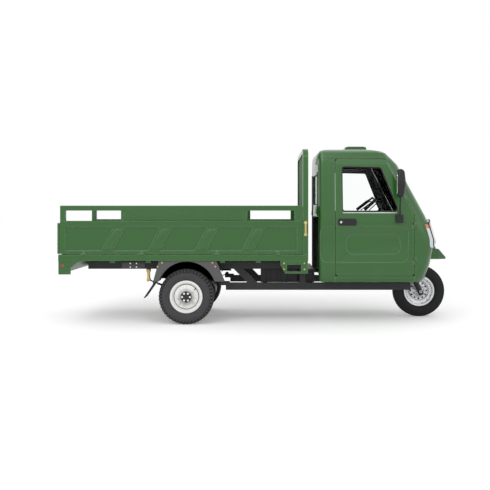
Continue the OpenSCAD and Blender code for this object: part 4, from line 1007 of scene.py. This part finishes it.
@dataclass(frozen=True)
class BodyTrim:
    """Wipers, blank plate, bolts and rail plates of the chassis body."""

    wiper_feet: tuple[float, ...] = (-0.30, 0.10)
    wiper_z: float = 1.175
    arm_tip: Span = (0.15, 0.19)
    arm_lift: float = 0.016
    arm_radius: float = 0.006
    blade_ends: tuple[Span, Span] = ((0.02, 0.2375), (0.30, 0.1368))
    blade_lift: float = 0.0096
    blade_radius: float = 0.007
    plate_half: float = 0.16
    plate_z: Span = (0.545, 0.63)
    plate_proud: float = 0.0025
    plate_sunk: float = 0.001
    plate_edge: float = 0.001
    bolt_radius: float = 0.009
    bracket_out: float = 0.648
    bracket_bolts: tuple[Span, ...] = ((0.262, 0.575), (0.262, 0.636), (0.470, 0.575), (0.470, 0.636))
    bracket_bolt_length: float = 0.006
    fender_out: float = 0.636
    fender_bolts: tuple[Span, ...] = ((-1.03, 0.60), (-0.985, 0.64), (-0.44, 0.60), (-0.47, 0.64))
    fender_bolt_length: float = 0.004
    rail_out: float = 0.445
    rail_plate_x: Span = (-1.435, -1.190)
    rail_plate_z: Span = (0.566, 0.634)
    rail_plate_thickness: float = 0.006
    rail_plate_edge: float = 0.002
    studs: tuple[Span, ...] = ((-1.346, 0.582), (-1.346, 0.620), (-1.281, 0.582), (-1.281, 0.620))
    stud_radius: float = 0.0081
    stud_length: float = 0.012

    def on_screen(self, y: float, z: float, lift: float) -> Vector:
        """Returns a point in front of the windscreen.

        Args:
            y: place across the screen.
            z: height.
            lift: distance in front of the glass.
        """
        place, normal, _, _ = Workshop.surface("windscreen").ray_cast(Vector((FAR, y, z)), BACKWARD)
        if place is None:
            raise ValueError(f"no glass at {y}, {z}")
        return place + normal * lift

    def wipers(self) -> None:
        """Builds both wipers."""
        for index, foot in enumerate(self.wiper_feet):
            base = self.on_screen(foot, self.wiper_z, self.arm_lift)
            tip = self.on_screen(foot + self.arm_tip[0], self.wiper_z + self.arm_tip[1], self.arm_lift)
            ends = [self.on_screen(foot + y, self.wiper_z + z, self.blade_lift) for y, z in self.blade_ends]
            arm = Workshop.rod("arm", base, tip, self.arm_radius, 16)
            blade = Workshop.rod("blade", *ends, self.blade_radius, 16)
            Workshop.hang(Workshop.join(f"wiper_{index}", [arm, blade]), Body.CHASSIS, TRIM, "trim")

    def plate(self) -> None:
        """Builds the blank plate at the rear."""
        tail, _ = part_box("tail_panel")
        plate = Workshop.box(
            "rear_plate", (tail.x - self.plate_proud, -self.plate_half, self.plate_z[0]),
            (tail.x + self.plate_sunk, self.plate_half, self.plate_z[1]), self.plate_edge,
        )
        Workshop.hang(plate, Body.CHASSIS, PLATE, "rim_rear")

    def bolt_row(
        self, side: Side, out: float, length: float, spots: Sequence[Span], radius: float
    ) -> list[bpy.types.Object]:
        """Makes bolt heads on an upright face of one side.

        Args:
            side: side of the vehicle.
            out: distance of the face from the middle.
            length: how far the heads stand out.
            spots: X and Z of each head.
            radius: radius of the heads.

        Returns:
            The heads.
        """
        near, far = side.value * out, side.value * (out + length)
        return [Workshop.rod("bolt", (x, near, z), (x, far, z), radius, 6) for x, z in spots]

    def bolts(self) -> None:
        """Builds the bolts of the bed brackets and the fenders."""
        heads = []
        for side in Side:
            for out, length, spots in (
                (self.bracket_out, self.bracket_bolt_length, self.bracket_bolts),
                (self.fender_out, self.fender_bolt_length, self.fender_bolts),
            ):
                heads += self.bolt_row(side, out, length, spots, self.bolt_radius)
        Workshop.hang(Workshop.join("body_bolts", heads), Body.CHASSIS, ZINC, "zinc")

    def rail_plates(self) -> None:
        """Builds the plates on the chassis rails and their studs."""
        heads = []
        for side in Side:
            ys = sorted(side.value * y for y in (self.rail_out, self.rail_out + self.rail_plate_thickness))
            low, high = zip(self.rail_plate_x, ys, self.rail_plate_z)
            plate = Workshop.box(side.name_of("rail_plate"), low, high, self.rail_plate_edge)
            Workshop.hang(plate, Body.CHASSIS, FENDER, "fender")
            heads += self.bolt_row(side, self.rail_out, self.stud_length, self.studs, self.stud_radius)
        Workshop.hang(Workshop.join("rail_studs", heads), Body.CHASSIS, CHROME, "rim_front")

    def build(self) -> None:
        """Builds the trim pieces."""
        self.wipers()
        self.plate()
        self.bolts()
        self.rail_plates()


# Stage


@dataclass(frozen=True)
class SoftLight:
    """An area light of the studio."""

    name: str
    place: Point
    power: float
    size: Span


@dataclass(frozen=True)
class Studio:
    """Camera, floor and soft light of the photograph."""

    eye: Point = (0.098, -7.65, 1.18)
    lens: float = 50.39
    sensor: float = 36.0
    shift: Span = (-0.0469, -0.0714)
    floor_half: float = 60.0
    floor_color: Color = (0.97, 0.97, 0.97)
    floor_roughness: float = 0.9
    floor_glow: float = 0.20
    sky_fill: float = 0.80
    sky_seen: float = 1.0
    aim: Point = (0.0, 0.0, 0.8)
    lights: tuple[SoftLight, ...] = (
        SoftLight("key", (-3.5, -6.0, 6.5), 150.0, (5.0, 5.0)),
        SoftLight("fill", (5.5, -5.0, 3.5), 30.0, (4.0, 4.0)),
        SoftLight("strip", (0.0, -5.0, 4.2), 40.0, (7.0, 0.35)),
    )

    def place_camera(self) -> None:
        """Places the camera level, looking along +Y."""
        bpy.ops.object.camera_add(location=self.eye, rotation=(math.pi / 2, 0.0, 0.0))
        camera = bpy.context.object
        camera.data.lens, camera.data.sensor_width = self.lens, self.sensor
        camera.data.shift_x, camera.data.shift_y = self.shift
        camera.data.dof.use_dof = False
        bpy.context.scene.camera = camera

    def lay_floor(self) -> None:
        """Lays the pale floor, which looks white to the camera and keeps its shadows."""
        bpy.ops.object.select_all(action="DESELECT")
        bpy.ops.mesh.primitive_plane_add(size=2 * self.floor_half)
        plane = Workshop.settle(bpy.context.object, "floor")
        pale = Finish("PaleFloor", self.floor_color, self.floor_roughness, mottle=0.0).material()
        nodes, links = pale.node_tree.nodes, pale.node_tree.links
        shader, rays = nodes["Principled BSDF"], nodes.new("ShaderNodeLightPath")
        glow = nodes.new("ShaderNodeMath")
        glow.operation = "MULTIPLY"
        glow.inputs[1].default_value = self.floor_glow
        shader.inputs["Emission Color"].default_value = (1.0, 1.0, 1.0, 1.0)
        links.new(rays.outputs["Is Camera Ray"], glow.inputs[0])
        links.new(glow.outputs[0], shader.inputs["Emission Strength"])
        plane.data.materials.append(pale)

    def set_sky(self) -> None:
        """Sets a sky that is white where it is seen and softer where it lights."""
        world = bpy.data.worlds.new("Sky")
        world.use_nodes = True
        nodes, links = world.node_tree.nodes, world.node_tree.links
        sky, rays = nodes["Background"], nodes.new("ShaderNodeLightPath")
        seen, clear = nodes.new("ShaderNodeMath"), nodes.new("ShaderNodeMath")
        level = nodes.new("ShaderNodeMapRange")
        seen.operation = clear.operation = "MAXIMUM"
        sky.inputs["Color"].default_value = (1.0, 1.0, 1.0, 1.0)
        level.inputs["To Min"].default_value = self.sky_fill
        level.inputs["To Max"].default_value = self.sky_seen
        for source, target in (
            (rays.outputs["Is Camera Ray"], seen.inputs[0]),
            (rays.outputs["Is Glossy Ray"], seen.inputs[1]),
            (seen.outputs[0], clear.inputs[0]),
            (rays.outputs["Is Transmission Ray"], clear.inputs[1]),
            (clear.outputs[0], level.inputs["Value"]),
            (level.outputs["Result"], sky.inputs["Strength"]),
        ):
            links.new(source, target)
        bpy.context.scene.world = world

    def hang_lights(self) -> None:
        """Hangs the two soft lights and the strip that draws the edges."""
        for light in self.lights:
            bpy.ops.object.light_add(type="AREA", location=light.place)
            lamp = bpy.context.object
            lamp.name = light.name
            lamp.data.energy, lamp.data.shape = light.power, "RECTANGLE"
            lamp.data.size, lamp.data.size_y = light.size
            lamp.rotation_euler = (Vector(self.aim) - Vector(light.place)).to_track_quat("-Z", "Y").to_euler()

    def build(self) -> None:
        """Builds the whole stage."""
        self.place_camera()
        self.lay_floor()
        self.set_sky()
        self.hang_lights()
        bpy.context.scene.view_settings.view_transform = "Standard"


@dataclass(frozen=True)
class Tricycle:
    """The whole vehicle: CAD panels and what dresses them."""

    soft_edges: tuple[str, ...] = ("paint", "fender", "trim", "lamp", "lamp_red", "frame")
    dark_inside: tuple[str, ...] = ("cab_front", "cab_rear", "cab_roof", "cab_floor", "door_left", "door_right")
    padded: tuple[str, ...] = ("seat_cushion", "seat_back")

    def finish_of(self, node: str, slot: str) -> Finish:
        """Returns a CAD node's finish.

        Args:
            node: name of the node.
            slot: the record's material slot.
        """
        if node in self.dark_inside:
            return CAB_PAINT
        return FRONT_TYRE if node == "front_tyre" else SLOT_FINISH[slot]

    def dress_panels(self) -> None:
        """Gives every CAD node its finish, as a softened copy where it is a panel."""
        soft, plain = PanelDresser(), PanelDresser(edge=0.0)
        for row in frame["record"]["subparts"]:
            node, slot = row["node"], row["material_slot"]
            if node not in self.padded:
                dresser = soft if slot in self.soft_edges else plain
                dresser.dress(node, self.finish_of(node, slot), slot)

    def build(self) -> None:
        """Builds all the pieces."""
        self.dress_panels()
        FrontWheel().build()
        for side in Side:
            RearWheel(side).build()
            DoorDress(side).build()
            WindowSeal(side.name_of("door_glass"), side.name_of("door"), axis=1, outside=side.value).build()
        WindowSeal("windscreen", Body.CHASSIS, axis=0, outside=1).build()
        WindowSeal("rear_window", Body.CHASSIS, axis=0, outside=-1).build()
        Seats().build()
        FrontLamps().build()
        RoofGutter().build()
        BoardPressings().build()
        RearBeads().build()
        BodyTrim().build()


def main() -> None:
    """Builds the vehicle and the stage."""
    logging.basicConfig(level=logging.INFO, format="%(name)s: %(message)s")
    Tricycle().build()
    Studio().build()


if __name__ == "__main__":
    main()
